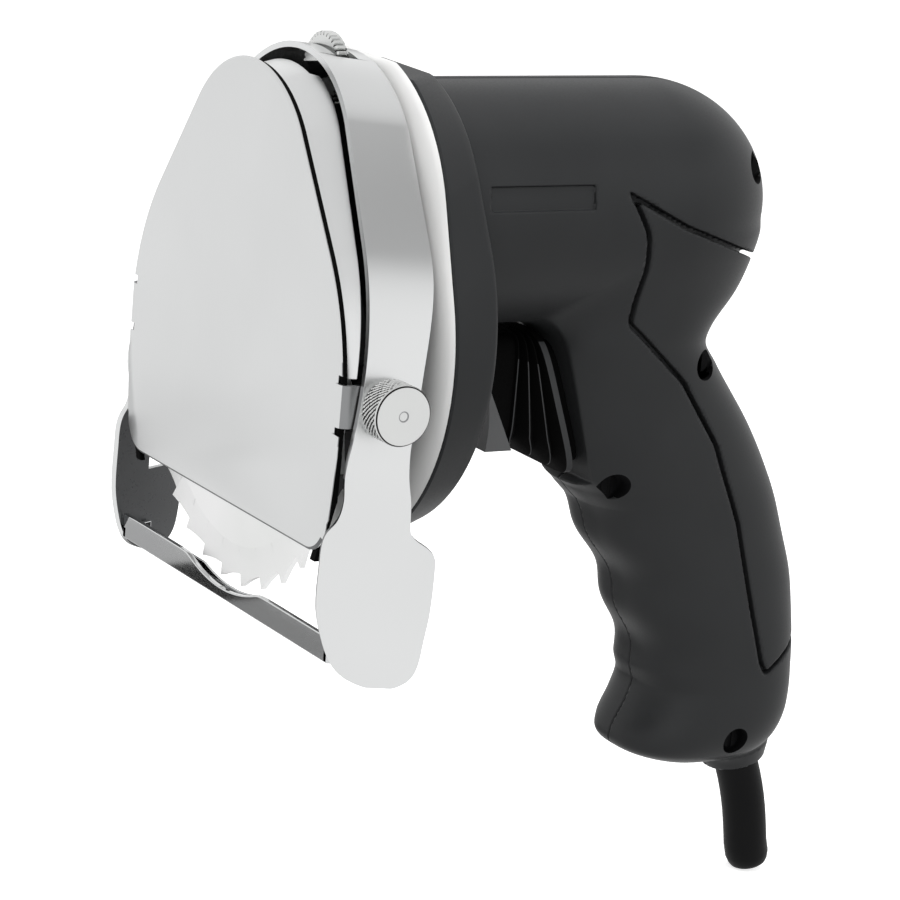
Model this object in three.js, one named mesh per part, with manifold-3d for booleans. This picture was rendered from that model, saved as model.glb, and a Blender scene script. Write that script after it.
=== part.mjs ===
// Electric kebab slicer: an assembly of separate solids, in millimetres, +Z up.
// The origin lies on the blade axis, on the front face of the cover plate. +X runs back along the barrel.
import * as THREE from 'three';
import { mergeVertices } from 'three/addons/utils/BufferGeometryUtils.js';
import Module from 'manifold-3d';

// Gap between pieces that sit on each other, and between turning pieces
const SEAT_GAP = 0.3;
const RUNNING_GAP = 0.8;

// Outline shared by cover, gasket, band and guard: a small top arc, two large side arcs, straight sides
const TOP_ARC_RADIUS = 32;
const TOP_ARC_HEIGHT = 45.5;
const SIDE_ARC_RADIUS = 59;
const SIDE_ARC_SHIFT = 5;
const SIDE_ARC_HEIGHT = 6;
const SIDE_STRAIGHT_BOTTOM = -5;
const SIDE_TAPER = 2.5;

// Blade cover
const COVER_THICKNESS = 1.2;
const COVER_BOTTOM = -29;
const COVER_CORNER_RADIUS = 8;
const TAB_LENGTH = 17;
const TAB_HEIGHT = 10;
const TAB_NOTCH = 2;

// Gasket and band behind the cover
const GASKET_THICKNESS = 1.3;
const GASKET_INSET = 1.2;
const GASKET_WIDTH = 2;
const GASKET_TAIL_TOP = -16;
const GASKET_TAIL_LEAN = 7;
const GASKET_BOTTOM = -33;
const BAND_DEPTH = 7.4;
const BAND_LOW_WIDTH = 3;
const BAND_INSET = 1.5;
const BAND_SHEET = 1.2;
const BAND_BOTTOM = 12.6;
const BAND_BACK_WIDTH = 20;

// Blade and spindle
const BLADE_RADIUS = 50;
const BLADE_THICKNESS = 2;
const BLADE_TEETH = 30;
const BLADE_TOOTH_DEPTH = 3;
const BLADE_BOLT_HEAD = 1.7;
const BLADE_BOLT_RADIUS = 10;
const BLADE_BOLT_SHANK_RADIUS = 3;
const BLADE_BOLT_LENGTH = 16;
const SPINDLE_RADIUS = 6;
const SPINDLE_FLANGE_RADIUS = 13;
const SPINDLE_FLANGE_THICKNESS = 2.5;

// Blade carrier
const CARRIER_PLATE_THICKNESS = 4.7;
const CARRIER_PLATE_LOW_RADIUS = 40;
const CARRIER_PLATE_LOW_Z = 5;
const CARRIER_PLATE_TOP_RADIUS = 20;
const CARRIER_PLATE_TOP_Z = TOP_ARC_HEIGHT - 1;
const CARRIER_HUB_LENGTH = 10.3;
const CARRIER_HUB_RADIUS = 22;
const CARRIER_REAR_PLATE = 1.9;
const CARRIER_REAR_LOW_RADIUS = 39;
const CARRIER_REAR_TOP_RADIUS = 35;
const ARM_WIDTH = 9;
const ARM_HEIGHT = 11;
const ARM_PAD_RADIUS = 6.5;
const ARM_PAD_THICKNESS = 2.9;
const LUG_LENGTH = 4.7;
const LUG_HALF_WIDTH = 6;
const LUG_RISE = 1.5;

// Guard strap, tilted about the axis of the two knobs
const PIVOT_X = 10.6;
const PIVOT_Z = 7.1;
const GUARD_TILT = THREE.MathUtils.degToRad(7);
const STRAP_WIDTH = 15.1;
const STRAP_SETBACK = 0.75;
const STRAP_SWELL = 2.4;
const STRAP_SWELL_START = 5;
const STRAP_SWELL_END = 33;
const STRAP_SHEET = 1.5;
const STRAP_OFFSET = 3.2;
const SHOE_TOE_IN = THREE.MathUtils.degToRad(22.9);
const SHOE_X = 12.5;
const SHOE_Y = 59.6;
const SHOE_SLOT_LENGTH = 5;
const SHOE_SLOT_HEIGHT = 4;
const SHOE_SLOT_Z = -35.5;

// Depth bar
const BAR_FRONT = 2;
const BAR_SHEET = 1.4;
const BAR_HEIGHT = 6.2;
const BAR_SCOOP_DEPTH = 3.7;
const BAR_BLADE_GAP = 1.3;
const BAR_TOP = BAR_SCOOP_DEPTH - BLADE_RADIUS - BAR_BLADE_GAP;
const BAR_SCOOP_HALF_WIDTH = 19;
const BAR_HEM_HEIGHT = 4.6;
const BAR_EAR_LENGTH = 9;
const BAR_EAR_HEIGHT = 3;

// Knob on the -Y side, pivot screw on the +Y side
const KNOB_RADIUS = 7.2;
const KNOB_LENGTH = 7.6;
const KNOB_SHANK_RADIUS = 2;
const KNOB_SHANK_REACH = 10;
const KNOB_CHAMFER = 0.8;
const KNOB_DIMPLE_RADIUS = 3;
const PIVOT_HEAD_RADIUS = 5;
const PIVOT_HEAD_LENGTH = 2.4;

// Thickness wheel on its stud
const WHEEL_RADIUS = 9;
const WHEEL_THICKNESS = 3;
const WHEEL_FRONT = 18.5;
const WHEEL_DROP = 2.8;
const WHEEL_Z = TOP_ARC_HEIGHT + TOP_ARC_RADIUS - WHEEL_DROP;
const WHEEL_NOTCHES = 36;
const WHEEL_NOTCH_DEPTH = 0.7;
const WHEEL_WASHER_RADIUS = 3.8;
const STUD_RADIUS = 2;

// Gear housing and flange, outlined by two circles
const HOUSING_LOW_RADIUS = 52;
const HOUSING_LOW_Z = 12;
const HOUSING_TOP_RADIUS = 44;
const HOUSING_TOP_Z = 37;
const HOUSING_FLAT_TOP = 78.7;
const HOUSING_THICKNESS = 3;
const FLANGE_FLAT_TOP = HOUSING_FLAT_TOP - 3.1;
const FLANGE_DEPTH = 11.3;
const FLANGE_WALL = 3;
const FLANGE_ROUNDING = 1.2;
const FLANGE_REAR_LOW_RADIUS = 51.5;
const FLANGE_REAR_LOW_Z = 16;
const FLANGE_REAR_TOP_RADIUS = 42;
const FLANGE_REAR_TOP_Z = 35;
const FLANGE_SPIGOT_LENGTH = 4;
const HIGH_SCREW_Z = WHEEL_Z - 12.7;
const SCREW_PLACES = [[-16, HIGH_SCREW_Z], [16, HIGH_SCREW_Z], [-31, 30], [31, 30]];
const SCREW_RADIUS = 1.6;
const SCREW_HEAD_RADIUS = 3.2;
const SCREW_HEAD_HEIGHT = 2.2;

// Gears: the motor axis lies above the blade axis by the centre distance
const GEAR_MODULE = 1.25;
const GEAR_TEETH = 52;
const PINION_TEETH = 16;
const GEAR_WIDTH = 5;
const MOTOR_Z = GEAR_MODULE * (GEAR_TEETH + PINION_TEETH) / 2;

// Motor
const MOTOR_SHAFT_RADIUS = 3;
const MOTOR_BEARING_RADIUS = 8;
const MOTOR_BEARING_WIDTH = 5;
const FAN_WIDTH = 5;
const FAN_RADIUS = 24.5;
const FAN_BLADES = 9;
const CORE_LENGTH = 32;
const FIELD_THICKNESS = 9.3;
const COIL_LENGTH = 3.4;
const COMMUTATOR_RADIUS = 9;
const COMMUTATOR_LENGTH = 9;
const BRUSH_WIDTH = 5;
const BRUSH_HEIGHT = 6;
const BRUSH_LENGTH = 11;
const HOLDER_WALL = 1.2;
const BRACKET_WIDTH = 7;

// Handle: a barrel with a domed end, and a grip lofted through level rings
const BARREL_RADIUS = 30;
const BARREL_WALL = 2.6;
const DOME_START = 109.5;
const DOME_LENGTH = 33.5;
const GRIP_WALL = 2.6;
const GRIP_FLOOR = -101.5;
const GRIP_ROUNDNESS = 2.6;
const GROOVE_PITCH = 19;
const GROOVE_DEPTH = 1;
const PANEL_GAP = 0.6;
const LABEL_LENGTH = 29;
const LABEL_HEIGHT = 5.8;
const SHELL_SCREW_HEAD_RADIUS = 3.2;
const SHELL_SCREW_SINK = 5;

// Trigger with its bellows, spring and switch
const TRIGGER_FRONT = 63;
const TRIGGER_DEPTH = 11.7;
const TRIGGER_HALF_WIDTH = 10;
const TRIGGER_BARREL_GAP = 1.5;
const TRIGGER_TOP = MOTOR_Z - BARREL_RADIUS - TRIGGER_BARREL_GAP;
const TRIGGER_BOTTOM = -18.5;
const STEM_HALF_WIDTH = 5.5;
const STEM_HEIGHT = 16;
const STEM_LENGTH = 18;
const BELLOWS_FOLDS = 4;
const BELLOWS_FOLD_DEPTH = 1.8;
const BELLOWS_WALL = 1.2;
const BELLOWS_BOTTOM = -26;
const SPRING_LENGTH = 7.4;
const SPRING_RADIUS = 3.6;
const SPRING_WIRE = 0.35;
const SPRING_TURNS = 3;
const SWITCH_LENGTH = 18;
const SWITCH_HEIGHT = 16;
const SWITCH_HALF_WIDTH = 9;

// Cord boot and cord clamp
const BOOT_X = 157.5;
const BOOT_Z = -105;
const BOOT_LEAN = THREE.MathUtils.degToRad(15.8);
const BOOT_RADIUS = 5.75;
const BOOT_BORE_RADIUS = 4;
const BOOT_LENGTH = 36;
const BOOT_FLANGE_RADIUS = 7.4;
const COLLAR_RADIUS = 8.2;
const COLLAR_LENGTH = 6;
const BOOT_FLANGE_THICKNESS = 3;
const CLAMP_FRONT = 150.5;
const CLAMP_LENGTH = 8;
const CLAMP_HALF_WIDTH = 9;
const CLAMP_LOW = -96.5;
const CLAMP_HEIGHT = 5;

const ROUND_STEPS = 24;
const SMALL_STEPS = 14;
const LARGE_STEPS = 48;

const wasm = await Module();
wasm.setup();

const AXIS_X = new THREE.Vector3(1, 0, 0);
const AXIS_Y = new THREE.Vector3(0, 1, 0);
const AXIS_Z = new THREE.Vector3(0, 0, 1);

// Turns a closed geometry into a solid that can be joined and cut
function solidOf(geometry) {
  const bare = geometry.clone();
  bare.deleteAttribute('normal');
  bare.deleteAttribute('uv');
  const merged = mergeVertices(bare, 1e-4);
  const places = merged.attributes.position;
  const corners = [];
  const point = [new THREE.Vector3(), new THREE.Vector3(), new THREE.Vector3()];
  let volume = 0;
  for (let i = 0; i < merged.index.count; i += 3) {
    const triple = [0, 1, 2].map((k) => merged.index.getX(i + k));
    if (new Set(triple).size === 3) {
      corners.push(...triple);
      triple.forEach((index, k) => point[k].fromBufferAttribute(places, index));
      volume += point[0].dot(point[1].cross(point[2]));
    }
  }
  if (volume < 0) {
    corners.reverse();
  }
  return new wasm.Manifold(new wasm.Mesh({
    numProp: 3,
    vertProperties: Float32Array.from(places.array),
    triVerts: Uint32Array.from(corners),
  }));
}

function join(...solids) {
  return solids.reduce((sum, solid) => sum.add(solid));
}

function cut(body, ...tools) {
  return tools.reduce((rest, tool) => rest.subtract(tool), body);
}

function placed(solid, x, y, z) {
  return solid.translate([x, y, z]);
}

function mirrored(solid) {
  return solid.mirror([0, 1, 0]);
}

// A turn about the Y axis through a point of the XZ plane
function tiltedAbout(solid, x, z, angle) {
  const degrees = THREE.MathUtils.radToDeg(angle);
  return solid.translate([-x, 0, -z]).rotate([0, degrees, 0]).translate([x, 0, z]);
}

function box(x0, x1, y0, y1, z0, z1) {
  const geometry = new THREE.BoxGeometry(x1 - x0, y1 - y0, z1 - z0);
  geometry.translate((x0 + x1) / 2, (y0 + y1) / 2, (z0 + z1) / 2);
  return solidOf(geometry);
}

// A shape drawn in (y, z), drawn out along X
function extrudeX(shape, from, to, steps = 8) {
  const geometry = new THREE.ExtrudeGeometry(shape, {
    depth: to - from,
    bevelEnabled: false,
    curveSegments: steps,
  });
  geometry.applyMatrix4(new THREE.Matrix4().makeBasis(AXIS_Y, AXIS_Z, AXIS_X));
  geometry.translate(from, 0, 0);
  return solidOf(geometry);
}

// A shape drawn in (x, z), drawn out along Y
function extrudeY(shape, from, to, steps = 8) {
  const geometry = new THREE.ExtrudeGeometry(shape, {
    depth: to - from,
    bevelEnabled: false,
    curveSegments: steps,
  });
  geometry.applyMatrix4(new THREE.Matrix4().makeBasis(AXIS_X, AXIS_Z, AXIS_Y.clone().negate()));
  geometry.translate(0, to, 0);
  return solidOf(geometry);
}

// A profile of [place along the axis, radius] turned about the X axis
function turnedX(profile, steps = ROUND_STEPS) {
  const points = profile.map(([along, radius]) => new THREE.Vector2(radius, along));
  const geometry = new THREE.LatheGeometry(points, steps);
  geometry.applyMatrix4(new THREE.Matrix4().makeBasis(AXIS_Y, AXIS_X, AXIS_Z.clone().negate()));
  return solidOf(geometry);
}

function turnedY(profile, steps = ROUND_STEPS) {
  const points = profile.map(([along, radius]) => new THREE.Vector2(radius, along));
  return solidOf(new THREE.LatheGeometry(points, steps));
}

function rodX(radius, from, to, steps = ROUND_STEPS) {
  return turnedX([[from, 0], [from, radius], [to, radius], [to, 0]], steps);
}

function rodY(radius, from, to, steps = SMALL_STEPS) {
  return turnedY([[from, 0], [from, radius], [to, radius], [to, 0]], steps);
}

function ringX(outer, inner, from, to, steps = ROUND_STEPS) {
  return turnedX([[from, inner], [from, outer], [to, outer], [to, inner], [from, inner]], steps);
}

// A skin through rings of equal count, closed by end caps or, when looped, back onto the first ring
function loft(rings, looped = false) {
  const count = rings[0].length;
  const points = rings.flat();
  const index = [];
  const spans = looped ? rings.length : rings.length - 1;
  for (let ring = 0; ring < spans; ring += 1) {
    const next = (ring + 1) % rings.length;
    for (let i = 0; i < count; i += 1) {
      const a = ring * count + i;
      const b = ring * count + (i + 1) % count;
      const c = next * count + i;
      const d = next * count + (i + 1) % count;
      index.push(a, b, c, b, d, c);
    }
  }
  if (!looped) {
    const first = points.length;
    const middle = (ring) => ring.reduce((sum, point) => sum.add(point), new THREE.Vector3())
      .divideScalar(count);
    const last = (rings.length - 1) * count;
    points.push(middle(rings[0]), middle(rings[rings.length - 1]));
    for (let i = 0; i < count; i += 1) {
      const next = (i + 1) % count;
      index.push(first, next, i, first + 1, last + i, last + next);
    }
  }
  const geometry = new THREE.BufferGeometry().setFromPoints(points);
  geometry.setIndex(index);
  return solidOf(geometry);
}

function polygon(points) {
  return new THREE.Shape(points.map(([a, b]) => new THREE.Vector2(a, b)));
}

function circle(y, z, radius) {
  return new THREE.Shape().absarc(y, z, radius, 0, 2 * Math.PI);
}

// The shared arch outline, grown by an offset
function archShape(offset, bottom, corner) {
  const reach = Math.hypot(SIDE_ARC_SHIFT, TOP_ARC_HEIGHT - SIDE_ARC_HEIGHT);
  const lean = Math.atan2(SIDE_ARC_SHIFT, TOP_ARC_HEIGHT - SIDE_ARC_HEIGHT);
  const turn = Math.PI / 2 - lean - Math.acos((SIDE_ARC_RADIUS - TOP_ARC_RADIUS) / reach);
  const side = SIDE_ARC_RADIUS + offset;
  const low = side - SIDE_ARC_SHIFT - SIDE_TAPER;
  return new THREE.Shape()
    .moveTo(low - corner, bottom)
    .absarc(low - corner, bottom + corner, corner, -Math.PI / 2, 0)
    .lineTo(side - SIDE_ARC_SHIFT, SIDE_STRAIGHT_BOTTOM)
    .absarc(-SIDE_ARC_SHIFT, SIDE_ARC_HEIGHT, side, 0, turn)
    .absarc(0, TOP_ARC_HEIGHT, TOP_ARC_RADIUS + offset, turn, Math.PI - turn)
    .absarc(SIDE_ARC_SHIFT, SIDE_ARC_HEIGHT, side, Math.PI - turn, Math.PI)
    .lineTo(-low, bottom + corner)
    .absarc(corner - low, bottom + corner, corner, Math.PI, 1.5 * Math.PI);
}

// The band between two offsets of the arch, cut off below a height
function archRing(outer, inner, from, to, bottom) {
  const depth = -80;
  const ring = cut(
    extrudeX(archShape(outer, depth, 1), from, to),
    extrudeX(archShape(inner, depth, 1), from - 1, to + 1),
  );
  return cut(ring, box(from - 1, to + 1, -100, 100, depth - 20, bottom));
}

// The outline round two circles on the Z axis
function twoCircleShape(lowRadius, lowZ, topRadius, topZ) {
  const turn = Math.PI / 2 - Math.acos((lowRadius - topRadius) / (topZ - lowZ));
  return new THREE.Shape()
    .absarc(0, topZ, topRadius, turn, Math.PI - turn)
    .absarc(0, lowZ, lowRadius, Math.PI - turn, 2 * Math.PI + turn);
}

function housingShape(inset) {
  return twoCircleShape(
    HOUSING_LOW_RADIUS - inset,
    HOUSING_LOW_Z,
    HOUSING_TOP_RADIUS - inset,
    HOUSING_TOP_Z,
  );
}

function gearShape(teeth, firstTooth) {
  const pitchRadius = GEAR_MODULE * teeth / 2;
  const tip = pitchRadius + 0.8 * GEAR_MODULE;
  const root = pitchRadius - 1.1 * GEAR_MODULE;
  const step = 2 * Math.PI / teeth;
  const corners = [[-0.27, root], [-0.13, tip], [0.13, tip], [0.27, root]];
  const points = [];
  for (let tooth = 0; tooth < teeth; tooth += 1) {
    for (const [share, radius] of corners) {
      const angle = firstTooth + (tooth + share) * step;
      points.push([radius * Math.cos(angle), radius * Math.sin(angle)]);
    }
  }
  return polygon(points);
}

// Places along X, from the cover back to the barrel
const coverBack = COVER_THICKNESS;
const gasketFront = coverBack + SEAT_GAP;
const bandFront = gasketFront + GASKET_THICKNESS + SEAT_GAP;
const bandBack = bandFront + BAND_DEPTH;
const bandTop = TOP_ARC_HEIGHT + TOP_ARC_RADIUS - BAND_INSET;
const bandTopBack = bandFront + BAND_LOW_WIDTH + (bandTop - BAND_BOTTOM) * Math.tan(GUARD_TILT);
const bladeFront = coverBack + RUNNING_GAP + BLADE_BOLT_HEAD + SEAT_GAP;
const bladeBack = bladeFront + BLADE_THICKNESS;
const spindleFlangeBack = bladeBack + SEAT_GAP + SPINDLE_FLANGE_THICKNESS;
const carrierFront = bandBack + SEAT_GAP;
const hubFront = carrierFront + CARRIER_PLATE_THICKNESS;
const rearPlateFront = hubFront + CARRIER_HUB_LENGTH;
const carrierBack = rearPlateFront + CARRIER_REAR_PLATE;
const housingFront = carrierBack + SEAT_GAP;
const housingBack = housingFront + HOUSING_THICKNESS;
const flangeFront = housingBack + SEAT_GAP;
const flangeBack = flangeFront + FLANGE_DEPTH;
const barrelFront = flangeBack + SEAT_GAP;
const gearFront = flangeFront + RUNNING_GAP;
const gearBack = gearFront + GEAR_WIDTH;

// Layers across Y, from the arm pad out to the knob
const strapOuter = SIDE_ARC_RADIUS - SIDE_ARC_SHIFT + STRAP_OFFSET;
const strapInner = strapOuter - STRAP_SHEET;
const tabOuter = strapInner - 2 * SEAT_GAP;
const tabInner = tabOuter - COVER_THICKNESS;
const padFace = tabInner - SEAT_GAP;
const knobFace = strapOuter + SEAT_GAP;
const shankHole = KNOB_SHANK_RADIUS + SEAT_GAP;

const group = new THREE.Group();

function addPart(name, solid, color, roughness, metalness) {
  const mesh = solid.getMesh();
  const geometry = new THREE.BufferGeometry();
  geometry.setAttribute('position', new THREE.BufferAttribute(Float32Array.from(mesh.vertProperties), 3));
  geometry.setIndex(Array.from(mesh.triVerts));
  geometry.computeVertexNormals();
  const part = new THREE.Mesh(geometry, new THREE.MeshStandardMaterial({ color, roughness, metalness }));
  part.name = name;
  group.add(part);
}

const STEEL = [0xd6d8d8, 0.3, 1];
const DARK_STEEL = [0x8a8c8d, 0.4, 1];
const PALE_ENAMEL = [0xeeeeed, 0.45, 0];
const CASTING = [0x2b2c2e, 0.6, 0];
const BLACK_PLASTIC = [0x343536, 0.5, 0];
const RUBBER = [0x1c1d1e, 0.8, 0];
const COPPER = [0xb5703c, 0.4, 1];
const BRASS = [0xc2a15a, 0.35, 1];
const CARBON = [0x28282a, 0.7, 0];

// Blade cover: arched plate with a slotted tab folded back at each side
function bladeCover() {
  const tabLow = PIVOT_Z - TAB_HEIGHT / 2;
  const tabHigh = PIVOT_Z + TAB_HEIGHT / 2;
  const plateSide = SIDE_ARC_RADIUS - SIDE_ARC_SHIFT;
  const plate = extrudeX(archShape(0, COVER_BOTTOM, COVER_CORNER_RADIUS), 0, COVER_THICKNESS, 12);
  const notch = (low) => box(-1, 2 * coverBack, plateSide - TAB_NOTCH, plateSide + 5, low, low + TAB_NOTCH);
  const notches = join(notch(tabLow - TAB_NOTCH), notch(tabHigh));
  const tab = join(
    box(0, TAB_LENGTH, tabInner, tabOuter, tabLow, tabHigh),
    box(0, COVER_THICKNESS, plateSide - 3, tabOuter, tabLow, tabHigh),
  );
  const slot = join(
    placed(rodY(shankHole, padFace, strapInner), PIVOT_X, 0, PIVOT_Z),
    box(PIVOT_X, TAB_LENGTH + 1, padFace, strapInner, PIVOT_Z - shankHole, PIVOT_Z + shankHole),
  );
  const slottedTab = cut(tab, slot);
  return join(cut(plate, notches, mirrored(notches)), slottedTab, mirrored(slottedTab));
}

// Gasket: a rubber edge behind the cover, its tails leaning in and showing below
function coverGasket() {
  const back = gasketFront + GASKET_THICKNESS;
  const edge = archRing(-GASKET_INSET, -GASKET_INSET - GASKET_WIDTH, gasketFront, back, GASKET_TAIL_TOP);
  const outer = SIDE_ARC_RADIUS - SIDE_ARC_SHIFT - GASKET_INSET - 0.4;
  const tail = extrudeX(
    polygon([
      [outer - GASKET_WIDTH, GASKET_TAIL_TOP + 1],
      [outer - GASKET_WIDTH - GASKET_TAIL_LEAN, GASKET_BOTTOM],
      [outer - GASKET_TAIL_LEAN, GASKET_BOTTOM],
      [outer, GASKET_TAIL_TOP + 1],
    ]),
    gasketFront,
    back,
  );
  return join(edge, tail, mirrored(tail));
}

// Band: polished wall round the blade, its back edge parallel to the strap and notched for the wheel
function bladeBand() {
  const wall = archRing(-BAND_INSET, -BAND_INSET - BAND_SHEET, bandFront, bandTopBack, BAND_BOTTOM);
  const flange = archRing(
    -BAND_INSET,
    -BAND_INSET - BAND_BACK_WIDTH,
    bandBack - BAND_SHEET,
    bandBack,
    TOP_ARC_HEIGHT + 6,
  );
  const slant = extrudeY(
    polygon([
      [bandTopBack, bandTop],
      [bandFront + BAND_LOW_WIDTH, BAND_BOTTOM],
      [bandTopBack + 1, BAND_BOTTOM],
      [bandTopBack + 1, bandTop],
    ]),
    -80,
    80,
  );
  const wheelReach = WHEEL_RADIUS + RUNNING_GAP;
  const notch = box(bandBack, bandTopBack + 1, -wheelReach, wheelReach, bandScrewZ, bandTop + 1);
  const hole = placed(rodX(SCREW_RADIUS + SEAT_GAP, bandFront, bandBack + 1, SMALL_STEPS), 0, 0, bandScrewZ);
  const sheet = join(cut(wall, slant, notch), flange);
  return cut(sheet, placed(hole, 0, bandScrewY, 0), placed(hole, 0, -bandScrewY, 0));
}

const bandScrewY = 10;
const bandScrewZ = TOP_ARC_HEIGHT + 13;

function pannedScrew(headFront, head, length, radius, headRadius) {
  return turnedX([
    [headFront, 0],
    [headFront, 0.7 * headRadius],
    [headFront + head, headRadius],
    [headFront + head, radius],
    [headFront + head + length, radius],
    [headFront + head + length, 0],
  ], SMALL_STEPS);
}

// Blade: a disc with hooked teeth that bite as the lower edge moves towards +Y
function sawBlade() {
  const step = 2 * Math.PI / BLADE_TEETH;
  const root = BLADE_RADIUS - BLADE_TOOTH_DEPTH;
  const corners = [[0, root], [0.36, root + 0.1 * BLADE_TOOTH_DEPTH], [0.98, BLADE_RADIUS]];
  const points = [];
  for (let tooth = 0; tooth < BLADE_TEETH; tooth += 1) {
    for (const [share, radius] of corners) {
      const angle = (tooth + share) * step;
      points.push([radius * Math.cos(angle), radius * Math.sin(angle)]);
    }
  }
  const bore = SPINDLE_RADIUS + SEAT_GAP;
  return cut(
    extrudeX(polygon(points), bladeFront, bladeBack),
    rodX(bore, bladeFront - 1, bladeBack + 1),
  );
}

function bladeBolt() {
  const front = coverBack + RUNNING_GAP;
  const end = front + BLADE_BOLT_LENGTH;
  const bolt = turnedX([
    [front, 0],
    [front, BLADE_BOLT_RADIUS - 1],
    [front + 1, BLADE_BOLT_RADIUS],
    [front + BLADE_BOLT_HEAD, BLADE_BOLT_RADIUS],
    [front + BLADE_BOLT_HEAD, BLADE_BOLT_SHANK_RADIUS],
    [end, BLADE_BOLT_SHANK_RADIUS],
    [end, 0],
  ]);
  const socket = rodX(BLADE_BOLT_SHANK_RADIUS - 0.5, front - 1, front + BLADE_BOLT_HEAD, 6);
  return cut(bolt, socket);
}

function bladeSpindle() {
  const pilotFront = bladeFront + SEAT_GAP;
  const flangeFrontFace = bladeBack + SEAT_GAP;
  const spindle = turnedX([
    [pilotFront, 0],
    [pilotFront, SPINDLE_RADIUS],
    [flangeFrontFace, SPINDLE_RADIUS],
    [flangeFrontFace, SPINDLE_FLANGE_RADIUS],
    [spindleFlangeBack, SPINDLE_FLANGE_RADIUS],
    [spindleFlangeBack, SPINDLE_RADIUS],
    [spindleEnd, SPINDLE_RADIUS],
    [spindleEnd, 0],
  ]);
  const threadEnd = coverBack + RUNNING_GAP + BLADE_BOLT_LENGTH + 2;
  return cut(spindle, rodX(BLADE_BOLT_SHANK_RADIUS + SEAT_GAP, 0, threadEnd));
}

const spindleEnd = flangeBack - 1.6;
const spindleBearingRadius = 2 * SPINDLE_RADIUS - 1;
const spindleBearingFront = carrierFront + 0.7;
const spindleBearingBack = spindleBearingFront + 7;
const bushFront = gearBack + SEAT_GAP;

// Carrier: dark casting with a hub, two arms for the knobs and a lug for the wheel's stud
function bladeCarrier() {
  const plateShape = twoCircleShape(
    CARRIER_PLATE_LOW_RADIUS,
    CARRIER_PLATE_LOW_Z,
    CARRIER_PLATE_TOP_RADIUS,
    CARRIER_PLATE_TOP_Z,
  );
  const plate = extrudeX(plateShape, carrierFront, hubFront);
  const hub = rodX(CARRIER_HUB_RADIUS, hubFront - 1, rearPlateFront + 1);
  const rearShape = twoCircleShape(
    CARRIER_REAR_LOW_RADIUS,
    HOUSING_LOW_Z,
    CARRIER_REAR_TOP_RADIUS,
    HOUSING_TOP_Z,
  );
  const rearPlate = extrudeX(rearShape, rearPlateFront, carrierBack);
  const armFront = PIVOT_X - ARM_WIDTH / 2 + 1.5;
  const armStart = CARRIER_PLATE_LOW_RADIUS - 6;
  const armLow = PIVOT_Z - ARM_HEIGHT / 2;
  const arm = join(
    box(armFront, armFront + ARM_WIDTH, armStart, padFace, armLow, armLow + ARM_HEIGHT),
    placed(rodY(ARM_PAD_RADIUS, padFace - ARM_PAD_THICKNESS, padFace, ROUND_STEPS), PIVOT_X, 0, PIVOT_Z),
  );
  const threaded = placed(rodY(shankHole, padFace - KNOB_SHANK_REACH - 1, padFace + 1), PIVOT_X, 0, PIVOT_Z);
  const lugFront = carrierBack - LUG_LENGTH;
  const lug = box(lugFront, carrierBack, -LUG_HALF_WIDTH, LUG_HALF_WIDTH, WHEEL_Z - 12, WHEEL_Z + LUG_RISE);
  const body = join(plate, hub, rearPlate, lug, arm, mirrored(arm));
  const bearingSeat = rodX(spindleBearingRadius + SEAT_GAP, carrierFront - 1, spindleBearingBack + SEAT_GAP);
  const bore = rodX(SPINDLE_RADIUS + RUNNING_GAP, carrierFront, carrierBack + 1);
  const studHole = placed(
    rodX(STUD_RADIUS + SEAT_GAP, lugFront - 1, carrierBack + 1, SMALL_STEPS), 0, 0, WHEEL_Z,
  );
  const shankHoles = SCREW_PLACES.map(([y, z]) => placed(
    rodX(SCREW_RADIUS + SEAT_GAP, rearPlateFront - 1, carrierBack + 1, SMALL_STEPS), 0, y, z,
  ));
  const bandHoles = [-bandScrewY, bandScrewY].map((y) => placed(
    rodX(SCREW_RADIUS + SEAT_GAP, carrierFront - 1, hubFront - 0.5, SMALL_STEPS), 0, y, bandScrewZ,
  ));
  const holes = [threaded, mirrored(threaded), studHole, ...shankHoles, ...bandHoles];
  return cut(body, bearingSeat, bore, ...holes);
}

// A point of the side view in the strap's own tilted axes, measured from the knob axis
function inStrapAxes(x, z) {
  const dx = x - PIVOT_X;
  const dz = z - PIVOT_Z;
  return [
    dx * Math.cos(GUARD_TILT) - dz * Math.sin(GUARD_TILT),
    dx * Math.sin(GUARD_TILT) + dz * Math.cos(GUARD_TILT),
  ];
}

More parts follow.
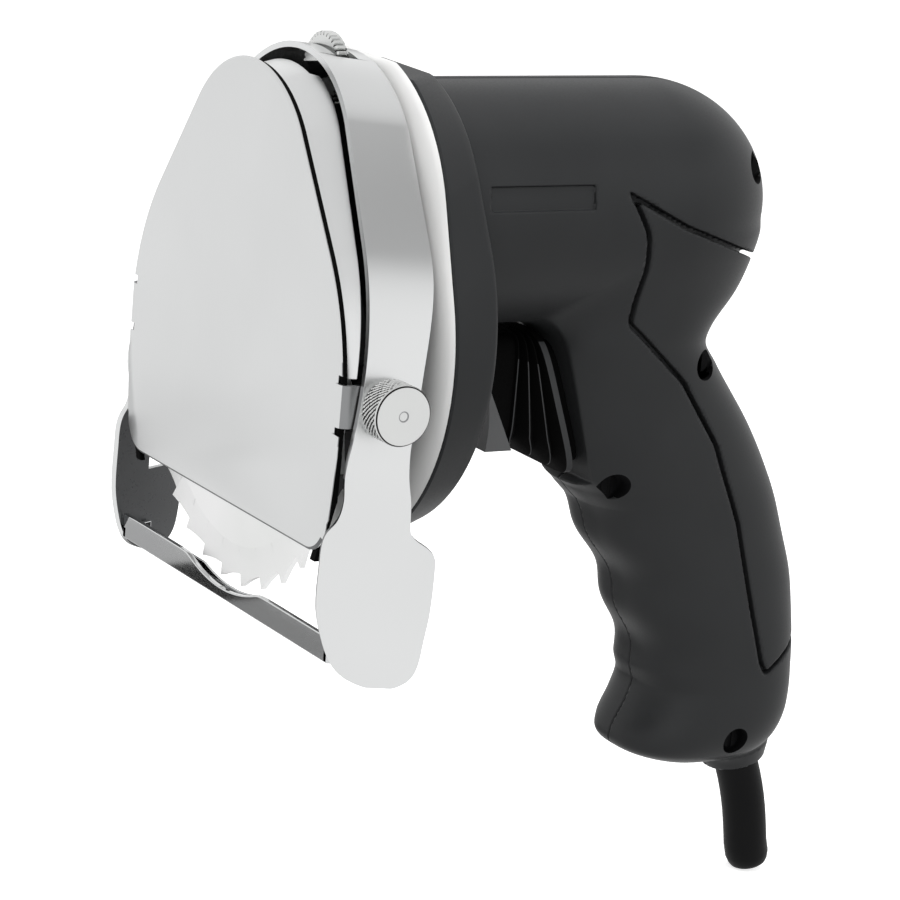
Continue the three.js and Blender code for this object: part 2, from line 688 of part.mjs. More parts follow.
// One leg with its shoe: thin level sections that turn from the flat leg into the toed-in shoe
function strapLeg() {
  const legCentre = (z) => PIVOT_X + (z - PIVOT_Z) * Math.tan(GUARD_TILT);
  const legMiddle = strapOuter - STRAP_SHEET / 2;
  const half = STRAP_WIDTH / 2 / Math.cos(GUARD_TILT);
  const legTop = PIVOT_Z - STRAP_WIDTH / 2;
  const sections = [
    { z: legTop, front: STRAP_SETBACK - half, rear: STRAP_SETBACK + half, turn: 0 },
    { z: -8, front: -9.2, rear: 6, turn: 0.5 },
    { z: -15, front: -11, rear: 4.5, turn: 1 },
    { z: -19.5, front: -11.9, rear: 4.6, turn: 1 },
    { z: -22.4, front: -14.8, rear: 5.4, turn: 1 },
    { z: -25, front: -15.4, rear: 9.6, turn: 1 },
    { z: -29, front: -15.5, rear: 11.4, turn: 1 },
    { z: -40, front: -15.6, rear: 11, turn: 1 },
    { z: -47, front: -13.8, rear: 10, turn: 1 },
    { z: -53, front: -11, rear: 9.1, turn: 1 },
    { z: -56.4, front: -7.6, rear: 7.4, turn: 1 },
    { z: -58.4, front: -3, rear: 4, turn: 1 },
  ];
  const rings = sections.map(({ z, front, rear, turn }) => {
    const toe = SHOE_TOE_IN * turn;
    const x = THREE.MathUtils.lerp(legCentre(z), SHOE_X, turn);
    const y = THREE.MathUtils.lerp(legMiddle, SHOE_Y, turn);
    const along = new THREE.Vector3(Math.cos(toe), Math.sin(toe), 0);
    const across = new THREE.Vector3(-Math.sin(toe), Math.cos(toe), 0);
    const corner = (shift, side) => new THREE.Vector3(x, y, z)
      .addScaledVector(along, shift)
      .addScaledVector(across, side * STRAP_SHEET / 2);
    return [corner(front, -1), corner(rear, -1), corner(rear, 1), corner(front, 1)];
  });
  return loft(rings);
}

// Strap: arch over the head that swells rearwards above the knobs and stops short of the housing
function guardStrap() {
  const half = STRAP_WIDTH / 2;
  const inner = STRAP_OFFSET - STRAP_SHEET;
  const middle = PIVOT_X + STRAP_SETBACK;
  const swollen = middle + half + STRAP_SWELL;
  const arch = archRing(STRAP_OFFSET, inner, middle - half, swollen, PIVOT_Z - half);
  const taper = extrudeY(
    polygon([
      [middle + half, PIVOT_Z - half - 1],
      [swollen + 1, PIVOT_Z - half - 1],
      [swollen + 1, PIVOT_Z + STRAP_SWELL_END],
      [swollen, PIVOT_Z + STRAP_SWELL_END],
      [middle + half, PIVOT_Z + STRAP_SWELL_START],
    ]),
    -80,
    80,
  );
  const hole = placed(rodY(shankHole, strapInner - 1, strapOuter + 1), PIVOT_X, 0, PIVOT_Z);
  const [slotFront, slotTop] = inStrapAxes(WHEEL_FRONT, WHEEL_Z + WHEEL_RADIUS);
  const slotPlay = 0.6;
  const slotBack = slotFront + WHEEL_THICKNESS + 2.4;
  const slot = box(
    PIVOT_X + slotFront - slotPlay,
    PIVOT_X + slotBack,
    -WHEEL_RADIUS,
    WHEEL_RADIUS,
    PIVOT_Z + slotTop - 2 * half,
    PIVOT_Z + slotTop + half,
  );
  const tilted = tiltedAbout(cut(arch, slot, taper), PIVOT_X, PIVOT_Z, GUARD_TILT);
  const beyond = box(housingFront - 2 * SEAT_GAP, housingBack, -80, 80, PIVOT_Z, PIVOT_Z + 100);
  const leg = strapLeg();
  const body = join(cut(tilted, beyond), leg, mirrored(leg));
  const shoeSlot = box(
    SHOE_X - SHOE_SLOT_LENGTH / 2,
    SHOE_X + SHOE_SLOT_LENGTH / 2,
    SHOE_Y - 6,
    SHOE_Y + 6,
    SHOE_SLOT_Z - SHOE_SLOT_HEIGHT / 2,
    SHOE_SLOT_Z + SHOE_SLOT_HEIGHT / 2,
  );
  return cut(body, hole, mirrored(hole), shoeSlot);
}

// Depth bar: folded sheet across the front, scooped below the blade, with an ear along each shoe
function depthBar() {
  const toeSlope = Math.tan(SHOE_TOE_IN);
  const shoeInner = (x) => SHOE_Y + (x - SHOE_X) * toeSlope - STRAP_SHEET / 2 / Math.cos(SHOE_TOE_IN);
  const end = shoeInner(BAR_FRONT) - SEAT_GAP;
  const bottom = BAR_TOP - BAR_HEIGHT;
  const hemFront = BAR_FRONT + 2 * BAR_SHEET;
  const hemBack = hemFront + BAR_SHEET / 2;
  const wall = box(BAR_FRONT, BAR_FRONT + BAR_SHEET, -end, end, bottom, BAR_TOP);
  const floor = box(BAR_FRONT, hemBack, -end, end, bottom, bottom + BAR_SHEET);
  const hem = box(hemFront, hemBack, -end, end, bottom, bottom + BAR_HEM_HEIGHT);
  const scoopRadius = (BAR_SCOOP_HALF_WIDTH ** 2 + BAR_SCOOP_DEPTH ** 2) / (2 * BAR_SCOOP_DEPTH);
  const scoopZ = BAR_TOP - BAR_SCOOP_DEPTH + scoopRadius;
  const scoop = placed(rodX(scoopRadius, BAR_FRONT - 1, hemBack + 1, 2 * LARGE_STEPS), 0, 0, scoopZ);
  const earSheet = 1.3 * BAR_SHEET;
  const earCorner = (x, inset) => new THREE.Vector2(x, shoeInner(x) - SEAT_GAP - inset);
  const ear = new THREE.Shape([
    earCorner(BAR_FRONT, earSheet),
    earCorner(BAR_FRONT + BAR_EAR_LENGTH, earSheet),
    earCorner(BAR_FRONT + BAR_EAR_LENGTH, 0),
    earCorner(BAR_FRONT, 0),
  ]);
  const earGeometry = new THREE.ExtrudeGeometry(ear, { depth: BAR_EAR_HEIGHT, bevelEnabled: false });
  earGeometry.translate(0, 0, bottom);
  const earSolid = solidOf(earGeometry);
  return join(cut(join(wall, floor, hem), scoop), earSolid, mirrored(earSolid));
}

// Low-headed screw that carries the strap on the +Y side
function pivotScrew() {
  const end = knobFace + PIVOT_HEAD_LENGTH;
  const shankEnd = padFace - KNOB_SHANK_REACH;
  const screw = turnedY([
    [shankEnd, 0],
    [shankEnd, KNOB_SHANK_RADIUS],
    [knobFace, KNOB_SHANK_RADIUS],
    [knobFace, PIVOT_HEAD_RADIUS],
    [end - KNOB_CHAMFER, PIVOT_HEAD_RADIUS],
    [end, PIVOT_HEAD_RADIUS - KNOB_CHAMFER],
    [end, 0],
  ]);
  const slot = box(-PIVOT_HEAD_RADIUS, PIVOT_HEAD_RADIUS, end - 1, end + 1, -0.6, 0.6);
  return placed(cut(screw, slot), PIVOT_X, 0, PIVOT_Z);
}

// Knob with its threaded shank, drawn on the +Y side
function sideKnob() {
  const end = knobFace + KNOB_LENGTH;
  const shankEnd = padFace - KNOB_SHANK_REACH;
  const knob = turnedY([
    [shankEnd, 0],
    [shankEnd, KNOB_SHANK_RADIUS],
    [knobFace, KNOB_SHANK_RADIUS],
    [knobFace, KNOB_RADIUS - KNOB_CHAMFER],
    [knobFace + KNOB_CHAMFER, KNOB_RADIUS],
    [end - KNOB_CHAMFER, KNOB_RADIUS],
    [end, KNOB_RADIUS - KNOB_CHAMFER],
    [end, KNOB_DIMPLE_RADIUS],
    [end - 0.7 * KNOB_CHAMFER, 0],
  ], ROUND_STEPS);
  return placed(knob, PIVOT_X, 0, PIVOT_Z);
}

// Wheel with a notched rim
function thicknessWheel() {
  const step = 2 * Math.PI / WHEEL_NOTCHES;
  const root = WHEEL_RADIUS - WHEEL_NOTCH_DEPTH;
  const points = [];
  for (let notch = 0; notch < WHEEL_NOTCHES; notch += 1) {
    for (const [share, radius] of [[0, WHEEL_RADIUS], [0.55, WHEEL_RADIUS], [0.78, root]]) {
      const angle = (notch + share) * step;
      points.push([radius * Math.cos(angle), radius * Math.sin(angle)]);
    }
  }
  const back = WHEEL_FRONT + WHEEL_THICKNESS;
  const bore = rodX(STUD_RADIUS + SEAT_GAP, WHEEL_FRONT - 1, back + 1, SMALL_STEPS);
  return placed(cut(extrudeX(polygon(points), WHEEL_FRONT, back), bore), 0, 0, WHEEL_Z);
}

function wheelWasher() {
  const front = WHEEL_FRONT + WHEEL_THICKNESS + SEAT_GAP;
  const lugFront = carrierBack - LUG_LENGTH;
  const washer = ringX(WHEEL_WASHER_RADIUS, STUD_RADIUS + SEAT_GAP, front, lugFront - SEAT_GAP, SMALL_STEPS);
  return placed(washer, 0, 0, WHEEL_Z);
}

// A solid of the head with its top cut flat
function belowFlatTop(solid, top) {
  return cut(solid, box(housingFront - 1, flangeBack + 1, -60, 60, top, top + 20));
}

function gearHousing() {
  const plate = belowFlatTop(extrudeX(housingShape(0.4), housingFront, housingBack, 12), HOUSING_FLAT_TOP);
  const bore = rodX(SPINDLE_RADIUS + RUNNING_GAP, housingFront - 1, housingBack + 1);
  const holes = SCREW_PLACES.map(([y, z]) => placed(
    rodX(SCREW_RADIUS + SEAT_GAP, housingFront - 1, housingBack + 1, SMALL_STEPS), 0, y, z,
  ));
  return cut(plate, bore, ...holes);
}

// Flange: black gear case, open at the front, with a rounded rear edge and a spigot into the barrel
function frontFlange() {
  const ringAt = (share, inset) => {
    const between = (front, rear) => THREE.MathUtils.lerp(front, rear, share);
    const outline = twoCircleShape(
      between(HOUSING_LOW_RADIUS, FLANGE_REAR_LOW_RADIUS) - inset,
      between(HOUSING_LOW_Z, FLANGE_REAR_LOW_Z),
      between(HOUSING_TOP_RADIUS, FLANGE_REAR_TOP_RADIUS) - inset,
      between(HOUSING_TOP_Z, FLANGE_REAR_TOP_Z),
    );
    return outline.getPoints(12).slice(0, -1)
      .map(({ x: y, y: z }) => new THREE.Vector3(between(flangeFront, flangeBack), y, z));
  };
  const roundingShare = FLANGE_ROUNDING / FLANGE_DEPTH;
  const shell = belowFlatTop(loft([
    ringAt(0, 0),
    ringAt(1 - roundingShare, 0),
    ringAt(1 - 0.3 * roundingShare, 0.3 * FLANGE_ROUNDING),
    ringAt(1, FLANGE_ROUNDING),
  ]), FLANGE_FLAT_TOP);
  const cavityBack = flangeBack - FLANGE_WALL;
  const cavity = belowFlatTop(
    extrudeX(housingShape(2 * FLANGE_WALL), flangeFront - 1, cavityBack, 12),
    FLANGE_FLAT_TOP - FLANGE_WALL,
  );
  const spigotRadius = BARREL_RADIUS - BARREL_WALL - SEAT_GAP;
  const spigotBack = flangeBack + FLANGE_SPIGOT_LENGTH;
  const spigot = onMotorAxis(
    ringX(spigotRadius, spigotRadius - FLANGE_WALL, cavityBack, spigotBack, LARGE_STEPS),
  );
  const bearingBoss = onMotorAxis(rodX(MOTOR_BEARING_RADIUS + 3, cavityBack, frontMotorBearingBack));
  const bushBoss = rodX(SPINDLE_RADIUS + 6, bushFront, cavityBack + 1);
  const screwBosses = SCREW_PLACES.map(([y, z]) => placed(
    rodX(2 * SCREW_RADIUS + 0.6, flangeFront, cavityBack + 1, SMALL_STEPS), 0, y, z,
  ));
  const body = join(cut(shell, cavity), spigot, bearingBoss, bushBoss, ...screwBosses);
  const bearingSeat = onMotorAxis(
    rodX(MOTOR_BEARING_RADIUS + SEAT_GAP, frontMotorBearingFront - SEAT_GAP, frontMotorBearingBack + 1),
  );
  const shaftHole = onMotorAxis(rodX(MOTOR_SHAFT_RADIUS + RUNNING_GAP, flangeFront, flangeBack));
  const bushSeat = rodX(SPINDLE_RADIUS + 2 + 2 * SEAT_GAP, bushFront - 1, spindleEnd + SEAT_GAP);
  const screwHoles = SCREW_PLACES.map(([y, z]) => placed(
    rodX(SCREW_RADIUS + SEAT_GAP, flangeFront - 1, cavityBack, SMALL_STEPS), 0, y, z,
  ));
  return cut(body, bearingSeat, shaftHole, bushSeat, ...screwHoles);
}

const frontMotorBearingFront = flangeBack - 1.5;
const frontMotorBearingBack = frontMotorBearingFront + MOTOR_BEARING_WIDTH;

// Places of the motor's pieces along X
const fanFront = frontMotorBearingBack + RUNNING_GAP;
const coreFront = fanFront + FAN_WIDTH + COIL_LENGTH + 2 * RUNNING_GAP;
const coreBack = coreFront + CORE_LENGTH;
const commutatorFront = coreBack + COIL_LENGTH + RUNNING_GAP;
const commutatorBack = commutatorFront + COMMUTATOR_LENGTH;
const bracketFront = commutatorBack + 2;
const bracketBack = bracketFront + BRACKET_WIDTH;
const shaftEnd = bracketBack + 3;
const rearMotorBearingFront = bracketBack - MOTOR_BEARING_WIDTH;
const barrelInner = BARREL_RADIUS - BARREL_WALL;
const armatureRadius = barrelInner - SEAT_GAP - FIELD_THICKNESS - RUNNING_GAP;
const shaftBore = MOTOR_SHAFT_RADIUS + SEAT_GAP;

function onMotorAxis(solid) {
  return placed(solid, 0, 0, MOTOR_Z);
}

function coolingFan() {
  const disc = ringX(FAN_RADIUS, shaftBore, fanFront, fanFront + 1.2);
  const hubRadius = MOTOR_SHAFT_RADIUS + 4;
  const hub = ringX(hubRadius, shaftBore, fanFront, fanFront + FAN_WIDTH);
  const blade = box(fanFront + 0.6, fanFront + FAN_WIDTH, hubRadius - 1, FAN_RADIUS - 0.5, -0.7, 0.7);
  const blades = Array.from({ length: FAN_BLADES }, (_, i) => blade.rotate([i * 360 / FAN_BLADES, 0, 0]));
  return onMotorAxis(join(disc, hub, ...blades));
}

function fieldCore() {
  const ring = ringX(barrelInner - SEAT_GAP, armatureRadius + RUNNING_GAP, coreFront, coreBack, LARGE_STEPS);
  return onMotorAxis(ring);
}

function fieldCoil(from) {
  return onMotorAxis(ringX(barrelInner - 2, armatureRadius + 2, from, from + COIL_LENGTH - SEAT_GAP));
}

const holderFront = commutatorFront + 1;

function carbonBrush() {
  const reach = COMMUTATOR_RADIUS + SEAT_GAP;
  const front = holderFront + HOLDER_WALL + SEAT_GAP;
  const half = BRUSH_HEIGHT / 2;
  return onMotorAxis(box(front, front + BRUSH_WIDTH, reach, reach + BRUSH_LENGTH, -half, half));
}

function brushHolder() {
  const inner = COMMUTATOR_RADIUS + 2;
  const halfHeight = BRUSH_HEIGHT / 2 + SEAT_GAP;
  const channelFront = holderFront + HOLDER_WALL;
  const outside = box(
    holderFront,
    bracketFront - SEAT_GAP,
    inner,
    inner + BRUSH_LENGTH,
    -halfHeight - HOLDER_WALL,
    halfHeight + HOLDER_WALL,
  );
  const channel = box(
    channelFront,
    channelFront + BRUSH_WIDTH + 2 * SEAT_GAP,
    inner - 1,
    inner + BRUSH_LENGTH + 1,
    -halfHeight,
    halfHeight,
  );
  return onMotorAxis(cut(outside, channel));
}

function rearBracket() {
  const disc = rodX(barrelInner - SEAT_GAP, bracketFront, bracketBack, LARGE_STEPS);
  const seat = rodX(MOTOR_BEARING_RADIUS + SEAT_GAP, rearMotorBearingFront - SEAT_GAP, bracketBack + 1);
  const bore = rodX(MOTOR_SHAFT_RADIUS + RUNNING_GAP, bracketFront - 1, bracketBack);
  return onMotorAxis(cut(disc, seat, bore));
}

// Handle outlines in the side view, as [z, x]
const GRIP_FRONT_POINTS = [
  [34, 92], [14, 80], [-26, 92], [-31, 96.5], [-42, 103.2], [-58, 112.5], [-74, 119.6],
  [-84, 122.6], [-90, 121.6], [-97, 118.8], [-101.5, 119.5], [-105.5, 129],
];
const GRIP_BACK_POINTS = [
  [34, 137], [22, 136], [9, 129.5], [1.8, 134], [-15, 146.8], [-30, 155.6], [-44, 161.2],
  [-57, 165.3], [-75, 167.6], [-90, 167.8], [-97, 166], [-101.5, 162.5], [-105.5, 155],
];
const GRIP_HALF_WIDTHS = [
  [34, 24], [14, 23], [0, 21], [-20, 19.6], [-50, 18.6], [-80, 19.2], [-94, 19.4], [-101.5, 17], [-105.5, 12],
];
const GRIP_LEVELS = [
  34, 22, 14, 9, 4, -4, -15, -26, -31, -35.5, -40, -44.5, -49, -53.5, -58, -62.5, -67,
  -71.5, -76, -80, -84, -88, -92, -97, -99.5, -101.5, -103.8, -105.5,
];
const GROOVE_TOP = -31;
const GROOVE_BOTTOM = -84;

// Smooth reading of a falling list of [height, value] at a height
function valueAt(list, height) {
  const last = list.length - 1;
  const found = list.findIndex(([z]) => z <= height);
  const upper = THREE.MathUtils.clamp(found < 0 ? last : found, 1, last) - 1;
  const slope = (i) => {
    const [above, below] = [list[Math.max(i - 1, 0)], list[Math.min(i + 1, last)]];
    return (below[1] - above[1]) / (below[0] - above[0]);
  };
  const [z0, v0] = list[upper];
  const [z1, v1] = list[upper + 1];
  const span = z1 - z0;
  const t = (height - z0) / span;
  const t2 = t * t;
  const t3 = t2 * t;
  return (2 * t3 - 3 * t2 + 1) * v0 + (t3 - 2 * t2 + t) * span * slope(upper)
    + (3 * t2 - 2 * t3) * v1 + (t3 - t2) * span * slope(upper + 1);
}

function grooveAt(z) {
  if (z > GROOVE_TOP || z < GROOVE_BOTTOM) {
    return 0;
  }
  return GROOVE_DEPTH * Math.cos(2 * Math.PI * (z - GROOVE_TOP + 4) / GROOVE_PITCH);
}

// Grip, shrunk by a wall for its hollow
function gripBody(wall, floor) {
  const steps = 22;
  const levels = GRIP_LEVELS.filter((z) => z >= floor);
  const rings = levels.map((z) => {
    const front = valueAt(GRIP_FRONT_POINTS, z) + grooveAt(z) + wall;
    const back = valueAt(GRIP_BACK_POINTS, z) - wall;
    const halfWidth = valueAt(GRIP_HALF_WIDTHS, z) - wall;
    const power = 2 / GRIP_ROUNDNESS;
    const rounded = (value) => Math.sign(value) * Math.abs(value) ** power;
    return Array.from({ length: steps }, (_, i) => {
      const angle = 2 * Math.PI * (i + 0.5) / steps;
      const x = (front + back) / 2 + (back - front) / 2 * rounded(Math.cos(angle));
      return new THREE.Vector3(x, halfWidth * rounded(Math.sin(angle)), z);
    });
  });
  return loft(rings);
}

function barrelBody(wall, front) {
  const radius = BARREL_RADIUS - wall;
  const length = DOME_LENGTH - wall;
  const dome = Array.from({ length: 10 }, (_, i) => {
    const angle = (i / 9) * Math.PI / 2;
    return [DOME_START + length * Math.sin(angle), i === 9 ? 0 : radius * Math.cos(angle)];
  });
  return onMotorAxis(turnedX([[front, 0], [front, radius], ...dome], LARGE_STEPS));
}

// A solid turned about the boot's leaning axis, from [depth below the boot's top, radius]
function alongBoot(profile, steps = ROUND_STEPS) {
  const points = profile.map(([depth, radius]) => new THREE.Vector2(radius, -depth));
  const geometry = new THREE.LatheGeometry(points, steps);
  geometry.rotateX(Math.PI / 2);
  geometry.rotateY(-BOOT_LEAN);
  geometry.translate(BOOT_X, 0, BOOT_Z);
  return solidOf(geometry);
}

const MOUTH_TOP = [80.5, 20];
const MOUTH_BOTTOM = [97.4, -27.5];
const mouthSlope = (MOUTH_BOTTOM[0] - MOUTH_TOP[0]) / (MOUTH_BOTTOM[1] - MOUTH_TOP[1]);
const mouthAt = (z) => MOUTH_TOP[0] + (z - MOUTH_TOP[1]) * mouthSlope;
const stemLow = -13;
const switchFront = TRIGGER_FRONT + TRIGGER_DEPTH + STEM_LENGTH + SPRING_LENGTH + 2 * SEAT_GAP;
const switchLow = -18;

const SHELL_SCREWS = [
  { x: 133, z: 53 },
  { x: 102.4, z: -28 },
  { x: 145.4, z: -97.5 },
];
const PANEL_SCREW = { x: 124.2, z: 3 };

function handleHalfWidth(x, z) {
  const dome = Math.max(x - DOME_START, 0) / DOME_LENGTH;
  const barrel = BARREL_RADIUS ** 2 * (1 - dome ** 2) - (z - MOTOR_Z) ** 2;
  if (barrel > 0) {
    return Math.sqrt(barrel);
  }
  const front = valueAt(GRIP_FRONT_POINTS, z) + grooveAt(z);
  const back = valueAt(GRIP_BACK_POINTS, z);
  const share = Math.abs(x - (front + back) / 2) / ((back - front) / 2);
  return valueAt(GRIP_HALF_WIDTHS, z) * (1 - share ** GRIP_ROUNDNESS) ** (1 / GRIP_ROUNDNESS);
}

const screwHeadY = ({ x, z }) => -handleHalfWidth(x, z) + SHELL_SCREW_SINK;
const screwTipY = ({ x, z }) => handleHalfWidth(x, z) - 6;

function shellScrew(place) {
  const head = screwHeadY(place);
  const screw = turnedY([
    [head - SCREW_HEAD_HEIGHT, 0],
    [head - SCREW_HEAD_HEIGHT, SHELL_SCREW_HEAD_RADIUS - 0.8],
    [head, SHELL_SCREW_HEAD_RADIUS - SEAT_GAP],
    [head, SCREW_RADIUS],
    [screwTipY(place), SCREW_RADIUS],
    [screwTipY(place), 0],
  ], SMALL_STEPS);
  const slot = box(-0.5, 0.5, head - 2 * SCREW_HEAD_HEIGHT, head - SCREW_HEAD_HEIGHT + 1, -4, 4);
  return placed(cut(screw, slot), place.x, 0, place.z);
}

function screwBore(place) {
  const head = screwHeadY(place) + SEAT_GAP;
  const bore = turnedY([
    [-60, 0],
    [-60, SHELL_SCREW_HEAD_RADIUS],
    [head, SHELL_SCREW_HEAD_RADIUS],
    [head, SCREW_RADIUS + SEAT_GAP],
    [screwTipY(place) + SEAT_GAP, SCREW_RADIUS + SEAT_GAP],
    [screwTipY(place) + SEAT_GAP, 0],
  ], SMALL_STEPS);
  return placed(bore, place.x, 0, place.z);
}

// Back panel outline in the side view
const PANEL_OUTLINE = [
  [90.8, 47.9], [95.6, 38.1], [97.1, 30.1], [98.6, 15.8], [107.6, 7.2], [116, -0.5], [128.8, -17.5],
  [138.8, -39.2], [150.5, -77.4], [153, -80.4], [185, -60], [185, 12.5], [107.3, 40.3],
];

// A closed outline moved inwards, corner by corner
function shrunkOutline(points, distance) {
  const count = points.length;
  const vectors = points.map(([x, z]) => new THREE.Vector2(x, z));
  return vectors.map((corner, i) => {
    const before = corner.clone().sub(vectors[(i + count - 1) % count]).normalize();
    const after = vectors[(i + 1) % count].clone().sub(corner).normalize();
    const inward = new THREE.Vector2(-before.y - after.y, before.x + after.x).normalize();
    const share = inward.dot(new THREE.Vector2(-before.y, before.x));
    const moved = corner.clone().addScaledVector(inward, distance / share);
    return [moved.x, moved.y];
  });
}

function handleParts() {
  const mouth = extrudeY(polygon([[40, 20], MOUTH_TOP, MOUTH_BOTTOM, [40, MOUTH_BOTTOM[1]]]), -40, 40);
  const mouthWall = placed(mouth, GRIP_WALL, 0, -GRIP_WALL);
  const collar = alongBoot([
    [-COLLAR_LENGTH, 0],
    [-COLLAR_LENGTH, COLLAR_RADIUS + 1.6],
    [0, COLLAR_RADIUS + 1.6],
    [COLLAR_LENGTH, COLLAR_RADIUS],
    [COLLAR_LENGTH, 0],
  ]);
  const outside = join(barrelBody(0, barrelFront), cut(gripBody(0, -200), mouth), collar);
  const gripHollow = cut(gripBody(GRIP_WALL, GRIP_FLOOR), mouthWall);
  const hollow = join(barrelBody(BARREL_WALL, barrelFront - 1), gripHollow);
  const skin = cut(outside, hollow);

  const bosses = SHELL_SCREWS.map((place) => placed(rodY(4.4, -40, 40), place.x, 0, place.z));
  const switchTop = switchLow + SWITCH_HEIGHT;
  const ribFrom = SWITCH_HALF_WIDTH + SEAT_GAP;
  const ribs = [switchFront + 3, switchFront + SWITCH_LENGTH - 5].flatMap((x) => [
    box(x, x + 2, ribFrom, 40, switchLow, switchTop),
    box(x, x + 2, -40, -ribFrom, switchLow, switchTop),
  ]);
  const clampRib = box(CLAMP_FRONT, CLAMP_FRONT + CLAMP_LENGTH, 5, 40, CLAMP_LOW - 4, CLAMP_LOW - SEAT_GAP);
  const inner = join(...bosses, ...ribs, clampRib, mirrored(clampRib)).intersect(outside);
  const slotHalfWidth = STEM_HALF_WIDTH + RUNNING_GAP;
  const slotLow = stemLow - RUNNING_GAP;
  const slotHigh = stemLow + STEM_HEIGHT + RUNNING_GAP;
  const mouthSlot = box(TRIGGER_FRONT, switchFront, -slotHalfWidth, slotHalfWidth, slotLow, slotHigh);
  const flangeHole = BOOT_FLANGE_RADIUS + SEAT_GAP;
  const tubeHole = BOOT_RADIUS + SEAT_GAP;
  const bootHole = join(
    alongBoot([[-20, 0], [-20, flangeHole], [SEAT_GAP, flangeHole], [SEAT_GAP, 0]]),
    alongBoot([[-1, 0], [-1, tubeHole], [20, tubeHole], [20, 0]]),
  );
  const label = box(50.8, 50.8 + LABEL_LENGTH, -40, -28.7, 45.7, 45.7 + LABEL_HEIGHT);
  const panelRegion = extrudeY(polygon(PANEL_OUTLINE), -60, 60);
  const innerRegion = extrudeY(polygon(shrunkOutline(PANEL_OUTLINE, PANEL_GAP)), -60, 60);

  const panelBoss = placed(rodY(4.4, -40, 40), PANEL_SCREW.x, 0, PANEL_SCREW.z).intersect(outside);
  const panel = cut(join(skin.intersect(innerRegion), panelBoss), screwBore(PANEL_SCREW));
  const shells = cut(
    join(cut(skin, panelRegion), cut(inner, panelRegion)),
    label,
    mouthSlot,
    bootHole,
    ...SHELL_SCREWS.map(screwBore),
  );
  const right = cut(shells, box(0, 200, -SEAT_GAP / 2, 100, -200, 200));
  const left = cut(shells, box(0, 200, -100, SEAT_GAP / 2, -200, 200));
  return { right, left, panel };
}

function cordClamp() {
  const back = CLAMP_FRONT + CLAMP_LENGTH;
  const top = CLAMP_LOW + CLAMP_HEIGHT;
  const bar = box(CLAMP_FRONT, back, -CLAMP_HALF_WIDTH, CLAMP_HALF_WIDTH, CLAMP_LOW, top);
  const groove = rodX(BOOT_BORE_RADIUS, CLAMP_FRONT - 1, back + 1, SMALL_STEPS);
  return cut(bar, placed(groove, 0, 0, top + 1));
}

function cordBoot() {
  return alongBoot([
    [-BOOT_FLANGE_THICKNESS, BOOT_BORE_RADIUS],
    [-BOOT_FLANGE_THICKNESS, BOOT_FLANGE_RADIUS],
    [0, BOOT_FLANGE_RADIUS],
    [0, BOOT_RADIUS],
    [BOOT_LENGTH - 3, BOOT_RADIUS],
    [BOOT_LENGTH - 1, BOOT_RADIUS - 0.7],
    [BOOT_LENGTH, BOOT_RADIUS - 2],
    [BOOT_LENGTH, BOOT_BORE_RADIUS],
    [-BOOT_FLANGE_THICKNESS, BOOT_BORE_RADIUS],
  ], 24);
}

// Trigger: a button with a rounded front, and a stem through the bellows
function triggerButton() {
  const back = TRIGGER_FRONT + TRIGGER_DEPTH;
  const shape = new THREE.Shape()
    .moveTo(back, TRIGGER_TOP)
    .lineTo(TRIGGER_FRONT + 2, TRIGGER_TOP)
    .quadraticCurveTo(TRIGGER_FRONT, TRIGGER_TOP, TRIGGER_FRONT, TRIGGER_TOP - 3)
    .quadraticCurveTo(TRIGGER_FRONT + 2, -6, TRIGGER_FRONT + 6, TRIGGER_BOTTOM + 2)
    .quadraticCurveTo(TRIGGER_FRONT + 7, TRIGGER_BOTTOM, back, TRIGGER_BOTTOM);
  const button = extrudeY(shape, -TRIGGER_HALF_WIDTH, TRIGGER_HALF_WIDTH);
  const stemTop = stemLow + STEM_HEIGHT;
  const stem = box(back - 1, back + STEM_LENGTH, -STEM_HALF_WIDTH, STEM_HALF_WIDTH, stemLow, stemTop);
  const plunger = placed(
    rodX(SPRING_RADIUS - 4 * SPRING_WIRE, back + STEM_LENGTH - 1, switchFront + 1, SMALL_STEPS),
    0, 0, stemLow + STEM_HEIGHT / 2,
  );
  return join(button, stem, plunger);
}

// Bellows: folded rubber sleeve from the trigger back to the slanting mouth of the grip
function triggerBellows() {
  const steps = 24;
  const front = TRIGGER_FRONT + TRIGGER_DEPTH + SEAT_GAP;
  const ringAt = (share, inset) => {
    const top = TRIGGER_TOP - inset;
    const bottom = THREE.MathUtils.lerp(TRIGGER_BOTTOM, BELLOWS_BOTTOM, share) + inset;
    const halfWidth = THREE.MathUtils.lerp(TRIGGER_HALF_WIDTH, TRIGGER_HALF_WIDTH + 2, share) - inset;
    const rounded = (value) => Math.sign(value) * Math.abs(value) ** 0.4;
    return Array.from({ length: steps }, (_, i) => {
      const angle = 2 * Math.PI * (i + 0.5) / steps;
      const z = (top + bottom) / 2 + (top - bottom) / 2 * rounded(Math.sin(angle));
      const x = THREE.MathUtils.lerp(front, mouthAt(z) - SEAT_GAP, share);
      return new THREE.Vector3(x, halfWidth * rounded(Math.cos(angle)), z);
    });
  };
  const outside = [];
  const inside = [];
  const count = 2 * BELLOWS_FOLDS;
  for (let i = 0; i <= count; i += 1) {
    const fold = i % 2 === 0 ? 0 : BELLOWS_FOLD_DEPTH;
    outside.push(ringAt(i / count, fold));
    inside.unshift(ringAt(i / count, fold + BELLOWS_WALL));
  }
  return loft([...outside, ...inside], true);
}

// A helix along X
class SpringPath extends THREE.Curve {
  getPoint(t, target = new THREE.Vector3()) {
    const angle = 2 * Math.PI * SPRING_TURNS * t;
    const radius = SPRING_RADIUS - SPRING_WIRE;
    const run = SPRING_LENGTH - 2 * SPRING_WIRE;
    return target.set(SPRING_WIRE + run * t, radius * Math.cos(angle), radius * Math.sin(angle));
  }
}

